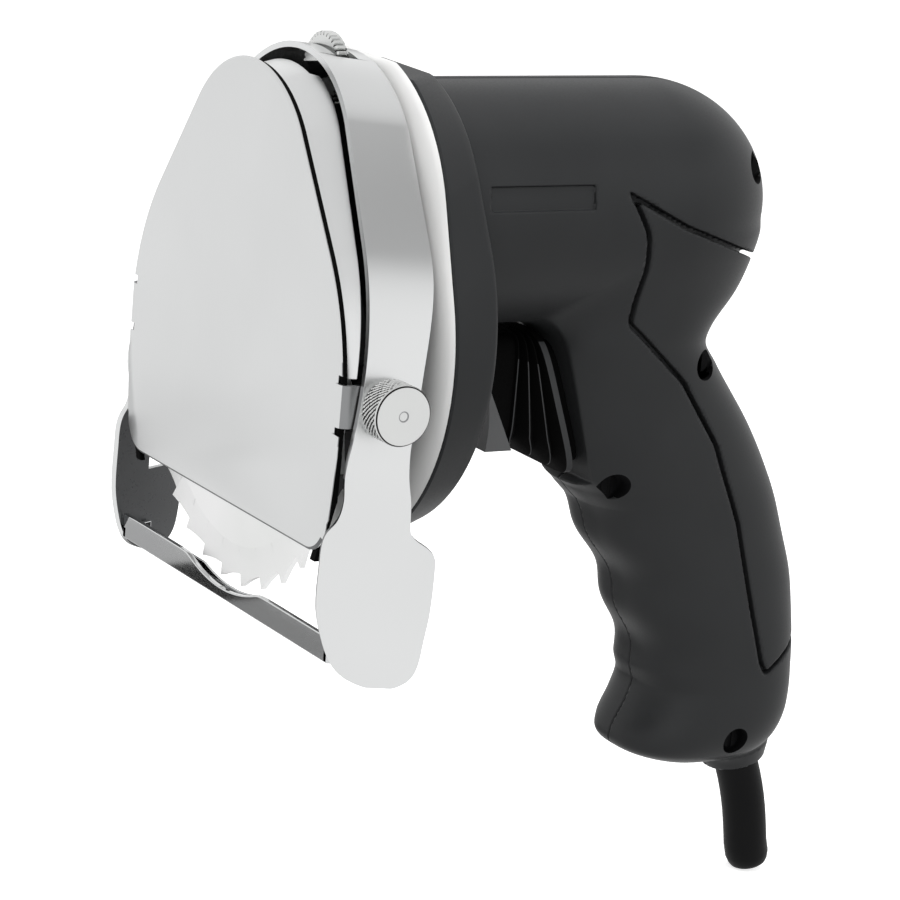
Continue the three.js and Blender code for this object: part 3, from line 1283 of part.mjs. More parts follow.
function triggerSpring() {
  const wire = new THREE.ExtrudeGeometry(circle(0, 0, SPRING_WIRE), {
    extrudePath: new SpringPath(),
    steps: 12 * SPRING_TURNS,
    curveSegments: 3,
    bevelEnabled: false,
  });
  wire.translate(TRIGGER_FRONT + TRIGGER_DEPTH + STEM_LENGTH + SEAT_GAP, 0, stemLow + STEM_HEIGHT / 2);
  return solidOf(wire);
}

function switchBody() {
  const top = switchLow + SWITCH_HEIGHT;
  const back = switchFront + SWITCH_LENGTH;
  const body = box(switchFront, back, -SWITCH_HALF_WIDTH, SWITCH_HALF_WIDTH, switchLow, top);
  const hole = placed(
    rodX(SPRING_RADIUS - 2 * SPRING_WIRE, switchFront - 1, switchFront + 9, SMALL_STEPS),
    0, 0, stemLow + STEM_HEIGHT / 2,
  );
  return cut(body, hole);
}

const bladeTooth = Math.PI / 2 + Math.PI / GEAR_TEETH;
const pinionTooth = -Math.PI / 2;
const handle = handleParts();

addPart('blade_cover', bladeCover(), ...STEEL);
addPart('cover_gasket', coverGasket(), ...RUBBER);
addPart('blade_band', bladeBand(), ...STEEL);
[-bandScrewY, bandScrewY].forEach((y, i) => {
  const head = bandBack - BAND_SHEET - SEAT_GAP - 1.2;
  const screw = pannedScrew(head, 1.2, 4.5, SCREW_RADIUS, SCREW_HEAD_RADIUS);
  addPart(`band_screw_${i + 1}`, placed(screw, 0, y, bandScrewZ), ...DARK_STEEL);
});
addPart('blade', sawBlade(), ...STEEL);
addPart('blade_bolt', bladeBolt(), ...DARK_STEEL);
addPart('blade_spindle', bladeSpindle(), ...DARK_STEEL);
addPart('blade_carrier', bladeCarrier(), ...CASTING);
addPart(
  'front_spindle_bearing',
  ringX(spindleBearingRadius, SPINDLE_RADIUS + SEAT_GAP, spindleBearingFront, spindleBearingBack),
  ...DARK_STEEL,
);
addPart(
  'rear_spindle_bush',
  ringX(SPINDLE_RADIUS + 2 + SEAT_GAP, SPINDLE_RADIUS + SEAT_GAP, bushFront, spindleEnd),
  ...BRASS,
);
addPart('guard_strap', guardStrap(), ...STEEL);
addPart('depth_bar', depthBar(), ...STEEL);
addPart('side_knob', mirrored(sideKnob()), ...STEEL);
addPart('pivot_screw', pivotScrew(), ...STEEL);
addPart('thickness_wheel', thicknessWheel(), ...STEEL);
addPart('wheel_washer', wheelWasher(), ...DARK_STEEL);
const wheelStud = rodX(STUD_RADIUS, bandTopBack + SEAT_GAP, carrierBack, SMALL_STEPS);
addPart('wheel_stud', placed(wheelStud, 0, 0, WHEEL_Z), ...STEEL);
addPart('gear_housing', gearHousing(), ...PALE_ENAMEL);
addPart('front_flange', frontFlange(), ...BLACK_PLASTIC);
SCREW_PLACES.forEach(([y, z], i) => {
  const head = rearPlateFront - SEAT_GAP - SCREW_HEAD_HEIGHT;
  const screw = pannedScrew(head, SCREW_HEAD_HEIGHT, 12, SCREW_RADIUS, SCREW_HEAD_RADIUS);
  addPart(`head_screw_${i + 1}`, placed(screw, 0, y, z), ...DARK_STEEL);
});
addPart(
  'drive_gear',
  cut(
    extrudeX(gearShape(GEAR_TEETH, bladeTooth), gearFront, gearBack),
    rodX(SPINDLE_RADIUS + SEAT_GAP, gearFront - 1, gearBack + 1),
  ),
  ...DARK_STEEL,
);
addPart(
  'motor_pinion',
  onMotorAxis(cut(
    extrudeX(gearShape(PINION_TEETH, pinionTooth), gearFront, gearBack),
    rodX(shaftBore, gearFront - 1, gearBack + 1, SMALL_STEPS),
  )),
  ...DARK_STEEL,
);
const armatureShaft = rodX(MOTOR_SHAFT_RADIUS, gearFront - SEAT_GAP, shaftEnd, SMALL_STEPS);
addPart('armature_shaft', onMotorAxis(armatureShaft), ...DARK_STEEL);
addPart('armature_core', onMotorAxis(ringX(armatureRadius, shaftBore, coreFront, coreBack)), ...DARK_STEEL);
addPart(
  'commutator',
  onMotorAxis(ringX(COMMUTATOR_RADIUS, shaftBore, commutatorFront, commutatorBack)),
  ...COPPER,
);
addPart('cooling_fan', coolingFan(), ...BLACK_PLASTIC);
[
  ['front_motor_bearing', frontMotorBearingFront],
  ['rear_motor_bearing', rearMotorBearingFront],
].forEach(([name, from]) => {
  const ring = ringX(MOTOR_BEARING_RADIUS, shaftBore, from, from + MOTOR_BEARING_WIDTH);
  addPart(name, onMotorAxis(ring), ...DARK_STEEL);
});
addPart('rear_motor_bracket', rearBracket(), ...BLACK_PLASTIC);
addPart('field_core', fieldCore(), ...DARK_STEEL);
addPart('field_coil_front', fieldCoil(coreFront - COIL_LENGTH), ...COPPER);
addPart('field_coil_rear', fieldCoil(coreBack + SEAT_GAP), ...COPPER);
addPart('brush_left', carbonBrush(), ...CARBON);
addPart('brush_right', mirrored(carbonBrush()), ...CARBON);
addPart('brush_holder_left', brushHolder(), ...BRASS);
addPart('brush_holder_right', mirrored(brushHolder()), ...BRASS);
addPart('handle_shell_right', handle.right, ...BLACK_PLASTIC);
addPart('handle_shell_left', handle.left, ...BLACK_PLASTIC);
addPart('grip_back_panel', handle.panel, ...BLACK_PLASTIC);
SHELL_SCREWS.forEach((place, i) => {
  addPart(`shell_screw_${i + 1}`, shellScrew(place), ...DARK_STEEL);
});
addPart('panel_screw', shellScrew(PANEL_SCREW), ...DARK_STEEL);
addPart('trigger', triggerButton(), ...BLACK_PLASTIC);
addPart('trigger_bellows', triggerBellows(), ...RUBBER);
addPart('trigger_spring', triggerSpring(), ...STEEL);
addPart('switch_body', switchBody(), ...BLACK_PLASTIC);
addPart('cord_clamp', cordClamp(), ...BLACK_PLASTIC);
addPart('cord_boot', cordBoot(), ...RUBBER);

export default group;
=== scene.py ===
"""Looks of an electric kebab slicer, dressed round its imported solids.

Sizes are written in millimetres in the assembly's own frame: the origin on the blade axis at the
cover's front face, +X back along the barrel, +Z up. Meshes are handed to the scene in metres.
"""

import logging
import math
from dataclasses import dataclass
from enum import Enum
from itertools import product
from typing import Callable, Sequence

import bmesh
import bpy
import numpy as np
from mathutils import Matrix, Vector


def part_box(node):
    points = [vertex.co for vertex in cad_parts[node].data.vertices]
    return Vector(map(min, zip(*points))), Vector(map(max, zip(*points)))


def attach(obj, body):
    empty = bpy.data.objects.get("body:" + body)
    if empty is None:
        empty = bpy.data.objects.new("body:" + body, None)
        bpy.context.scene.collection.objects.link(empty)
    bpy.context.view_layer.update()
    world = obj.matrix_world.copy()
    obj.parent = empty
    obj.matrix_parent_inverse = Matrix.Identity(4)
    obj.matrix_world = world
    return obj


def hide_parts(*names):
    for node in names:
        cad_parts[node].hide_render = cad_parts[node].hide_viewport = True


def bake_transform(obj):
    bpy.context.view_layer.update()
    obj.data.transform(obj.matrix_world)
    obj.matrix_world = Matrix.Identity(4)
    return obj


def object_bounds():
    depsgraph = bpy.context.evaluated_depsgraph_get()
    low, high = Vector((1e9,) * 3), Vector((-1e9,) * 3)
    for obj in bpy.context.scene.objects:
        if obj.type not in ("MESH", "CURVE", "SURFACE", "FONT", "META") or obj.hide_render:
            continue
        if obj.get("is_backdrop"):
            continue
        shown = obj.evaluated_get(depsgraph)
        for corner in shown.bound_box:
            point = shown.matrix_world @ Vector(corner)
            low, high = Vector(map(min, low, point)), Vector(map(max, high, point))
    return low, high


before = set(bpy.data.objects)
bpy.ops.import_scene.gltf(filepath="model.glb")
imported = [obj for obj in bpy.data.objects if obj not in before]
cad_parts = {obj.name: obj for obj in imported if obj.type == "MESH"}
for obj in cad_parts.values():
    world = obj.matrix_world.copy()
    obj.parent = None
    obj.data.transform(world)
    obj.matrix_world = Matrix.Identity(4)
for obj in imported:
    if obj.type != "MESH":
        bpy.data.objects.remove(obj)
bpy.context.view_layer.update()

LOG = logging.getLogger("slicer")
MM = 0.001

Point = tuple[float, float, float]
Flat = tuple[float, float]
Ring = list[Point]
Grid = np.ndarray
Field = Callable[[Grid, Grid, Grid], Grid]


def linear(hex_colour: str) -> tuple[float, float, float, float]:
    """Turns an sRGB hex colour into linear RGBA.

    Args:
        hex_colour: colour such as "#c8c9ca".

    Returns:
        Linear red, green, blue and an alpha of 1.
    """
    parts = [int(hex_colour[i : i + 2], 16) / 255 for i in (1, 3, 5)]
    red, green, blue = [c / 12.92 if c <= 0.04045 else ((c + 0.055) / 1.055) ** 2.4 for c in parts]
    return red, green, blue, 1.0


def add_node(
    tree: bpy.types.NodeTree, kind: str, settings: dict | None = None, links: dict | None = None
) -> bpy.types.Node:
    """Adds a shader node, sets its values and links its inputs.

    Args:
        tree: node tree that gets the node.
        kind: type name of the node.
        settings: values by input name or by attribute name.
        links: sockets to link, by input name.

    Returns:
        The new node.
    """
    node = tree.nodes.new(kind)
    for name, value in (settings or {}).items():
        if name in node.inputs:
            node.inputs[name].default_value = value
        else:
            setattr(node, name, value)
    for name, socket in (links or {}).items():
        tree.links.new(socket, node.inputs[name])
    return node


def bare_tree(owner: bpy.types.Material | bpy.types.World) -> bpy.types.NodeTree:
    """Node tree of a material or a world, emptied."""
    owner.use_nodes = True
    owner.node_tree.nodes.clear()
    return owner.node_tree


def either(
    tree: bpy.types.NodeTree, first: bpy.types.NodeSocket, second: bpy.types.NodeSocket
) -> bpy.types.NodeSocket:
    """The larger of two shares."""
    node = add_node(tree, "ShaderNodeMath", {"operation": "MAXIMUM"})
    tree.links.new(first, node.inputs[0])
    tree.links.new(second, node.inputs[1])
    return node.outputs[0]


def mixed(
    tree: bpy.types.NodeTree, share: bpy.types.NodeSocket, low: bpy.types.Node, high: bpy.types.Node
) -> bpy.types.Node:
    """Mix of two shaders.

    Args:
        tree: node tree that holds them.
        share: share of the second shader.
        low: shader at a share of 0.
        high: shader at a share of 1.

    Returns:
        The mixing node.
    """
    node = add_node(tree, "ShaderNodeMixShader", links={"Fac": share})
    tree.links.new(low.outputs[0], node.inputs[1])
    tree.links.new(high.outputs[0], node.inputs[2])
    return node


class Grain(Enum):
    """How a surface was made, as the stretch of its grain along X, Y and Z."""

    BRUSHED_UPRIGHT = (1.0, 1.0, 0.02)
    BRUSHED_ACROSS = (1.0, 0.02, 1.0)
    EVEN = (1.0, 1.0, 1.0)


@dataclass(frozen=True)
class Finish:
    """One material: what it is made of and how its surface was made."""

    name: str
    slot: str
    colour: str
    second_colour: str
    metallic: float
    roughness: float
    roughness_spread: float
    grain: Grain
    grain_mm: float
    relief_mm: float
    patch_mm: float = 30.0
    specular: float = 0.5

    def material(self) -> bpy.types.Material:
        """Gives the material, built at its first use."""
        made = bpy.data.materials.get(self.name)
        if made is not None:
            return made
        made = bpy.data.materials.new(self.name)
        made.use_nodes = True
        tree = made.node_tree
        shader = tree.nodes["Principled BSDF"]
        place = add_node(tree, "ShaderNodeTexCoord").outputs["Object"]
        stretch = [share / (self.grain_mm * MM) for share in self.grain.value]
        spread = add_node(tree, "ShaderNodeMapping", {"Scale": stretch}, {"Vector": place})
        grain = add_node(
            tree, "ShaderNodeTexNoise", {"Scale": 1.0, "Detail": 3.0}, {"Vector": spread.outputs["Vector"]}
        )
        patches = add_node(
            tree,
            "ShaderNodeTexNoise",
            {"Scale": 1.0 / (self.patch_mm * MM), "Detail": 2.0},
            {"Vector": place},
        )
        tint = add_node(tree, "ShaderNodeValToRGB", links={"Fac": patches.outputs["Fac"]})
        stops = ((0.35, self.colour), (0.65, self.second_colour))
        for element, (position, colour) in zip(tint.color_ramp.elements, stops):
            element.position = position
            element.color = linear(colour)
        gloss = add_node(
            tree,
            "ShaderNodeMapRange",
            {
                "From Min": 0.3,
                "From Max": 0.7,
                "To Min": self.roughness - self.roughness_spread,
                "To Max": self.roughness + self.roughness_spread,
            },
            {"Value": grain.outputs["Fac"]},
        )
        relief = add_node(
            tree,
            "ShaderNodeBump",
            {"Strength": 1.0, "Distance": self.relief_mm * MM},
            {"Height": grain.outputs["Fac"]},
        )
        shader.inputs["Metallic"].default_value = self.metallic
        shader.inputs["Specular IOR Level"].default_value = self.specular
        tree.links.new(tint.outputs["Color"], shader.inputs["Base Color"])
        tree.links.new(gloss.outputs["Result"], shader.inputs["Roughness"])
        tree.links.new(relief.outputs["Normal"], shader.inputs["Normal"])
        return made


# Satin stainless sheet: brushed along its length, so highlights smear across the brush lines
COVER_STEEL = Finish(
    "satin_stainless_cover", "satin_steel", "#d7d8d8", "#dbdcdc", 1.0, 0.34, 0.02,
    Grain.BRUSHED_UPRIGHT, 0.4, 0.0002, patch_mm=60.0,
)
# Rolled stainless strip: smoother than the cover, with clear bands of light round its bend
STRAP_STEEL = Finish(
    "rolled_stainless_strap", "satin_steel", "#dfe0e0", "#e3e4e4", 1.0, 0.3, 0.015,
    Grain.EVEN, 0.4, 0.0001, patch_mm=60.0,
)
# Inner face of the same strip, and some edges: darker steel as painted shade, standing in for the shade and
# dark reflections that fall there
DARK_SHADE_STEEL = Finish(
    "painted_dark_shade_steel", "satin_steel", "#666768", "#707172", 1.0, 0.3, 0.03,
    Grain.EVEN, 0.6, 0.0002, patch_mm=40.0,
)
# Mid-grey steel as painted shade on the folded tabs and in the knob's dimple, standing in for the shade and
# dark reflections there
MID_SHADE_STEEL = Finish(
    "painted_mid_shade_steel", "satin_steel", "#868788", "#939495", 1.0, 0.36, 0.03,
    Grain.BRUSHED_UPRIGHT, 0.4, 0.0002,
)
# Polished stainless strip: near mirror, shows its neighbours sharply
BAR_STEEL = Finish(
    "polished_stainless_bar", "satin_steel", "#d2d3d4", "#d6d7d7", 1.0, 0.06, 0.01,
    Grain.EVEN, 0.6, 0.00005,
)
# The band's polish is hazed, so it mirrors its neighbours softly
BAND_STEEL = Finish(
    "polished_stainless_band", "polished_steel", "#e6e7e7", "#eaebeb", 1.0, 0.36, 0.02,
    Grain.EVEN, 0.5, 0.0001, patch_mm=60.0,
)
# Ground tool steel: pale, with fine even grinding marks
BLADE_STEEL = Finish(
    "ground_blade_steel", "blade_steel", "#ecedec", "#f2f2f2", 1.0, 0.34, 0.03,
    Grain.EVEN, 0.5, 0.0003,
)
# Turned and nickel-plated brass: neutral grey with a soft sheen
KNOB_METAL = Finish(
    "nickel_plated_knob", "satin_steel", "#d6d7d6", "#dadbda", 1.0, 0.24, 0.02,
    Grain.EVEN, 0.4, 0.0002,
)
# Near-black as painted shade in the knurl's grooves, round the knob's face edge and in the wheel's notches
GROOVE_SHADE_STEEL = Finish(
    "painted_shade_in_grooves", "satin_steel", "#1f1f1f", "#2d2d2c", 1.0, 0.45, 0.04,
    Grain.EVEN, 0.4, 0.0004,
)
# Machined mild steel: duller and darker than the sheet
PLAIN_STEEL = Finish(
    "machined_mild_steel", "plain_steel", "#8d8f90", "#999b9c", 1.0, 0.38, 0.05,
    Grain.EVEN, 0.5, 0.0008,
)
# Near-black steel with a faint oily gloss for the screws, and painted shade on the walls of their wells and
# on the wheel's stud and washer
NEAR_BLACK_SHADE_STEEL = Finish(
    "near_black_shade_steel", "plain_steel", "#0b0b0c", "#111112", 0.0, 0.5, 0.05,
    Grain.EVEN, 0.4, 0.0008, specular=0.05,
)
# Pale stove enamel on cast aluminium: near white, with a soft gloss
CASE_ENAMEL = Finish(
    "pale_enamel_on_casting", "pale_enamel", "#ececeb", "#f0f0ef", 0.0, 0.4, 0.04,
    Grain.EVEN, 0.8, 0.002,
)
# Stove-enamelled casting, black as painted shade for the dark gap between band and strap; slightly pebbled
CARRIER_SHADE_BLACK = Finish(
    "carrier_painted_shade_black", "dark_casting", "#0c0c0d", "#101011", 0.0, 0.6, 0.06,
    Grain.EVEN, 0.9, 0.006, specular=0.15,
)
# Glass-filled nylon, moulded in a fine spark-eroded tool: soft grey sheen on black
HANDLE_NYLON = Finish(
    "moulded_black_nylon", "black_plastic", "#2c2d2e", "#2f3031", 0.0, 0.42, 0.04,
    Grain.EVEN, 0.45, 0.004, specular=0.2,
)
FLANGE_NYLON = Finish(
    "moulded_flange_nylon", "black_plastic", "#2a2b2c", "#2d2e2f", 0.0, 0.45, 0.04,
    Grain.EVEN, 0.45, 0.004, specular=0.2,
)
TRIGGER_NYLON = Finish(
    "moulded_trigger_nylon", "black_plastic", "#58595a", "#606162", 0.0, 0.4, 0.04,
    Grain.EVEN, 0.45, 0.003,
)
INNER_NYLON = Finish(
    "moulded_inner_nylon", "inner_plastic", "#202021", "#262627", 0.0, 0.5, 0.05,
    Grain.EVEN, 0.6, 0.004,
)
# Moulded synthetic rubber: matt, deep black. The lighter rubber after it is painted highlight on the bellows'
# crests, and the grey of the bellows' rim
SEAL_RUBBER = Finish(
    "moulded_black_rubber", "rubber", "#050505", "#080808", 0.0, 0.8, 0.06,
    Grain.EVEN, 0.6, 0.004, specular=0.06,
)
CREST_HIGHLIGHT_RUBBER = Finish(
    "painted_highlight_rubber_crest", "rubber", "#3c3d3e", "#464748", 0.0, 0.5, 0.05,
    Grain.EVEN, 0.6, 0.003, specular=0.2,
)
BOOT_RUBBER = Finish(
    "moulded_boot_rubber", "rubber", "#0d0d0e", "#111112", 0.0, 0.48, 0.05,
    Grain.EVEN, 0.6, 0.005, specular=0.1,
)
# Sintered bearing brass, enamelled copper wire and pressed carbon of the motor
BUSH_BRASS = Finish(
    "sintered_bearing_brass", "brass", "#b8964e", "#c4a35c", 1.0, 0.4, 0.05,
    Grain.EVEN, 0.5, 0.001,
)
COIL_COPPER = Finish(
    "enamelled_copper_wire", "copper", "#9c5227", "#b0632f", 1.0, 0.36, 0.08,
    Grain.BRUSHED_ACROSS, 0.6, 0.02,
)
BRUSH_CARBON = Finish(
    "pressed_carbon", "carbon", "#232324", "#2c2c2e", 0.0, 0.6, 0.05,
    Grain.EVEN, 0.5, 0.004,
)


def arc(centre: Flat, radius: float, start: float, end: float, steps: int) -> list[Flat]:
    """Points of a round stretch.

    Args:
        centre: middle of the circle.
        radius: its radius.
        start: first angle in radians.
        end: last angle in radians.
        steps: number of chords.

    Returns:
        steps + 1 points from start to end.
    """
    turns = [start + (end - start) * i / steps for i in range(steps + 1)]
    return [(centre[0] + radius * math.cos(t), centre[1] + radius * math.sin(t)) for t in turns]


def between(low: float, high: float, share: float) -> float:
    """Straight reading between two values."""
    return low + (high - low) * share


def oblong(low: Flat, high: Flat) -> list[Flat]:
    """Corners of an oblong between two opposite corners."""
    return [low, (high[0], low[1]), high, (low[0], high[1])]


def two_circles(low_radius: float, low_z: float, top_radius: float, top_z: float) -> list[Flat]:
    """Closed outline round two circles that stand one above the other.

    Args:
        low_radius: radius of the lower circle.
        low_z: height of its centre.
        top_radius: radius of the upper circle.
        top_z: height of its centre.

    Returns:
        Outline points as (y, z).
    """
    turn = math.asin((low_radius - top_radius) / (top_z - low_z))
    top_steps, low_steps = 56, 84
    top = arc((0.0, top_z), top_radius, turn, math.pi - turn, top_steps)
    low = arc((0.0, low_z), low_radius, math.pi - turn, 2 * math.pi + turn, low_steps)
    return top + low


def add_object(
    name: str, points: Sequence[Point], faces: Sequence[Sequence[int]], paint: bpy.types.Material
) -> bpy.types.Object:
    """Adds a mesh to the scene.

    Args:
        name: name of the object.
        points: its points in millimetres.
        faces: numbers of the points round each face.
        paint: its material.

    Returns:
        The object, linked to the scene.
    """
    mesh = bpy.data.meshes.new(name)
    mesh.from_pydata([[c * MM for c in point] for point in points], [], faces)
    mesh.materials.append(paint)
    made = bpy.data.objects.new(name, mesh)
    bpy.context.scene.collection.objects.link(made)
    return made


class Blank:
    """A mesh in the making: points in millimetres and the faces between them."""

    def __init__(self) -> None:
        """Starts empty."""
        self.points: list[Point] = []
        self.faces: list[tuple[int, ...]] = []

    def skin(self, rings: Sequence[Ring], looped: bool = False) -> "Blank":
        """Skins closed rings of equal count.

        Args:
            rings: rings in order.
            looped: joins the last ring to the first one in place of end caps.

        Returns:
            The blank itself.
        """
        first = len(self.points)
        count = len(rings[0])
        for ring in rings:
            self.points.extend(ring)
        for row in range(len(rings) if looped else len(rings) - 1):
            here = first + row * count
            there = first + (row + 1) % len(rings) * count
            for i in range(count):
                j = (i + 1) % count
                self.faces.append((here + i, here + j, there + j, there + i))
        if not looped:
            last = first + (len(rings) - 1) * count
            self.faces.append(tuple(range(first + count - 1, first - 1, -1)))
            self.faces.append(tuple(range(last, last + count)))
        return self

    def slab(self, outline: Sequence[Flat], front: float, back: float) -> "Blank":
        """Draws an outline of (y, z) out along X."""
        return self.skin([[(x, y, z) for y, z in outline] for x in (front, back)])

    def block(self, outline: Sequence[Flat], near: float, far: float) -> "Blank":
        """Draws an outline of (x, z) out along Y."""
        return self.skin([[(x, y, z) for x, z in outline] for y in (near, far)])

    def piece(self, name: str, finish: Finish, edge_mm: float = 0.0) -> bpy.types.Object:
        """Makes the scene object.

        Args:
            name: name of the piece.
            finish: its material.
            edge_mm: width of the rounded edges, 0 for none.

        Returns:
            The object, linked to the scene.
        """
        piece = add_object(name, self.points, self.faces, finish.material())
        work = bmesh.new()
        work.from_mesh(piece.data)
        bmesh.ops.recalc_face_normals(work, faces=work.faces)
        work.to_mesh(piece.data)
        work.free()
        smooth(piece)
        if edge_mm:
            round_edges(piece, edge_mm)
        return piece


def smooth(piece: bpy.types.Object, sharp_degrees: float = 34.0) -> None:
    """Shades a piece smooth, apart from its sharp edges."""
    piece.data.shade_smooth()
    piece.data.set_sharp_from_angle(angle=math.radians(sharp_degrees))


def round_edges(piece: bpy.types.Object, width_mm: float, segments: int = 2) -> None:
    """Rounds the sharp edges of a piece."""
    rounding = piece.modifiers.new("rounded_edges", "BEVEL")
    rounding.width = width_mm * MM
    rounding.segments = segments
    rounding.limit_method = "ANGLE"
    rounding.angle_limit = math.radians(40)
    rounding.harden_normals = True


def carve(piece: bpy.types.Object, *cutters: bpy.types.Object, solver: str = "EXACT") -> None:
    """Cuts solids out of a piece and removes them.

    Args:
        piece: piece to be cut.
        cutters: closed solids.
        solver: way of cutting; FAST also takes a piece that touches itself along an edge.
    """
    for cutter in cutters:
        cut = piece.modifiers.new("carve", "BOOLEAN")
        cut.operation = "DIFFERENCE"
        cut.solver = solver
        cut.object = cutter
    graph = bpy.context.evaluated_depsgraph_get()
    carved = bpy.data.meshes.new_from_object(piece.evaluated_get(graph))
    piece.modifiers.clear()
    piece.data = carved
    for cutter in cutters:
        bpy.data.objects.remove(cutter)


def touch_up(piece: bpy.types.Object, finish: Finish, faces: Sequence[int]) -> None:
    """Gives some faces of a piece a second finish.

    Args:
        piece: the piece.
        finish: finish of the faces.
        faces: their numbers.
    """
    piece.data.materials.append(finish.material())
    last = len(piece.data.materials) - 1
    for face in faces:
        piece.data.polygons[face].material_index = last


def settle(piece: bpy.types.Object, finish: Finish, body: str, *nodes: str) -> bpy.types.Object:
    """Lets a piece ride on a body in place of its solids.

    Args:
        piece: the piece, in place.
        finish: not used.
        body: body that carries it.
        nodes: solids that it stands for.

    Returns:
        The piece.
    """
    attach(piece, body)
    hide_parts(*nodes)
    LOG.info("%s rides on %s for %s", piece.name, body, ", ".join(nodes))
    return piece


@dataclass(frozen=True)
class ArchOutline:
    """The arch that cover, gasket, band and guard share: a top arc, two side arcs, straight legs."""

    top_radius: float = 32.0
    top_height: float = 45.5
    side_radius: float = 59.0
    side_shift: float = 5.0
    side_height: float = 6.0
    straight_bottom: float = -5.0
    taper: float = 2.5
    foot: float = -80.0

    def half(self, offset: float, bottom: float, foot: float) -> list[Flat]:
        """The +Y half, from its foot up to the middle of the top.

        Args:
            offset: growth of the outline.
            bottom: height of the lowest point.
            foot: height at which the legs have their full taper.

        Returns:
            Points as (y, z).
        """
        side = self.side_radius + offset
        outer = side - self.side_shift
        rise = self.top_height - self.side_height
        reach = math.hypot(self.side_shift, rise)
        lean = math.atan2(self.side_shift, rise)
        turn = math.pi / 2 - lean - math.acos((self.side_radius - self.top_radius) / reach)
        points = []
        if bottom < self.straight_bottom:
            share = (self.straight_bottom - bottom) / (self.straight_bottom - foot)
            low = outer - self.taper * share
            for i in range(8):
                points.append((between(low, outer, i / 8), between(bottom, self.straight_bottom, i / 8)))
        start = max(bottom, self.straight_bottom)
        if start < self.side_height:
            points += [(outer, between(start, self.side_height, i / 4)) for i in range(4)]
        centre = (-self.side_shift, self.side_height)
        sides = arc(centre, side, 0.0, turn, 26)
        top = arc((0.0, self.top_height), self.top_radius + offset, turn, math.pi / 2, 22)
        return points + [point for point in sides + top[1:] if point[1] >= bottom]

    def whole(self, offset: float, bottom: float, foot: float) -> list[Flat]:
        """From the +Y foot over the top to the -Y foot."""
        half = self.half(offset, bottom, foot)
        return half + [(-y, z) for y, z in reversed(half[:-1])]

    def ribbon(
        self,
        outer: float,
        inner: float,
        bottom: float,
        front: float,
        back: Callable[[float, float], float],
        flare: float = 0.0,
    ) -> list[Ring]:
        """Rings of four corners along the arch.

        Args:
            outer: offset of the outer face.
            inner: offset of the inner face.
            bottom: height of the ends.
            front: place of the front edge along X.
            back: place of the back edge along X, by side place and height.
            flare: growth of the offsets from the front edge to the back edge.

        Returns:
            The rings.
        """
        offsets = (inner, inner + flare, outer + flare, outer)
        outlines = [self.whole(offset, bottom, self.foot) for offset in offsets]
        return [
            [(front, *a), (back(*b), *b), (back(*c), *c), (front, *d)]
            for a, b, c, d in zip(*outlines)
        ]


ARCH = ArchOutline()
PIVOT_X = 10.6
PIVOT_Z = 7.1
# Ends of the grip's slanting mouth, which the bellows close, as (x, z)
MOUTH_TOP = (80.5, 20.0)
MOUTH_BOTTOM = (97.4, -27.5)
MOUTH_RUN = MOUTH_BOTTOM[0] - MOUTH_TOP[0]
MOUTH_FALL = MOUTH_BOTTOM[1] - MOUTH_TOP[1]
# Axis of the cord boot: its start at the grip's foot as (x, z), and its lean
BOOT_TOP = (157.5, -105.0)
BOOT_LEAN = math.radians(15.8)


def mouth_at(z: Grid | float) -> Grid | float:
    """Place along X of the grip's mouth, by height."""
    return MOUTH_TOP[0] + (z - MOUTH_TOP[1]) * MOUTH_RUN / MOUTH_FALL


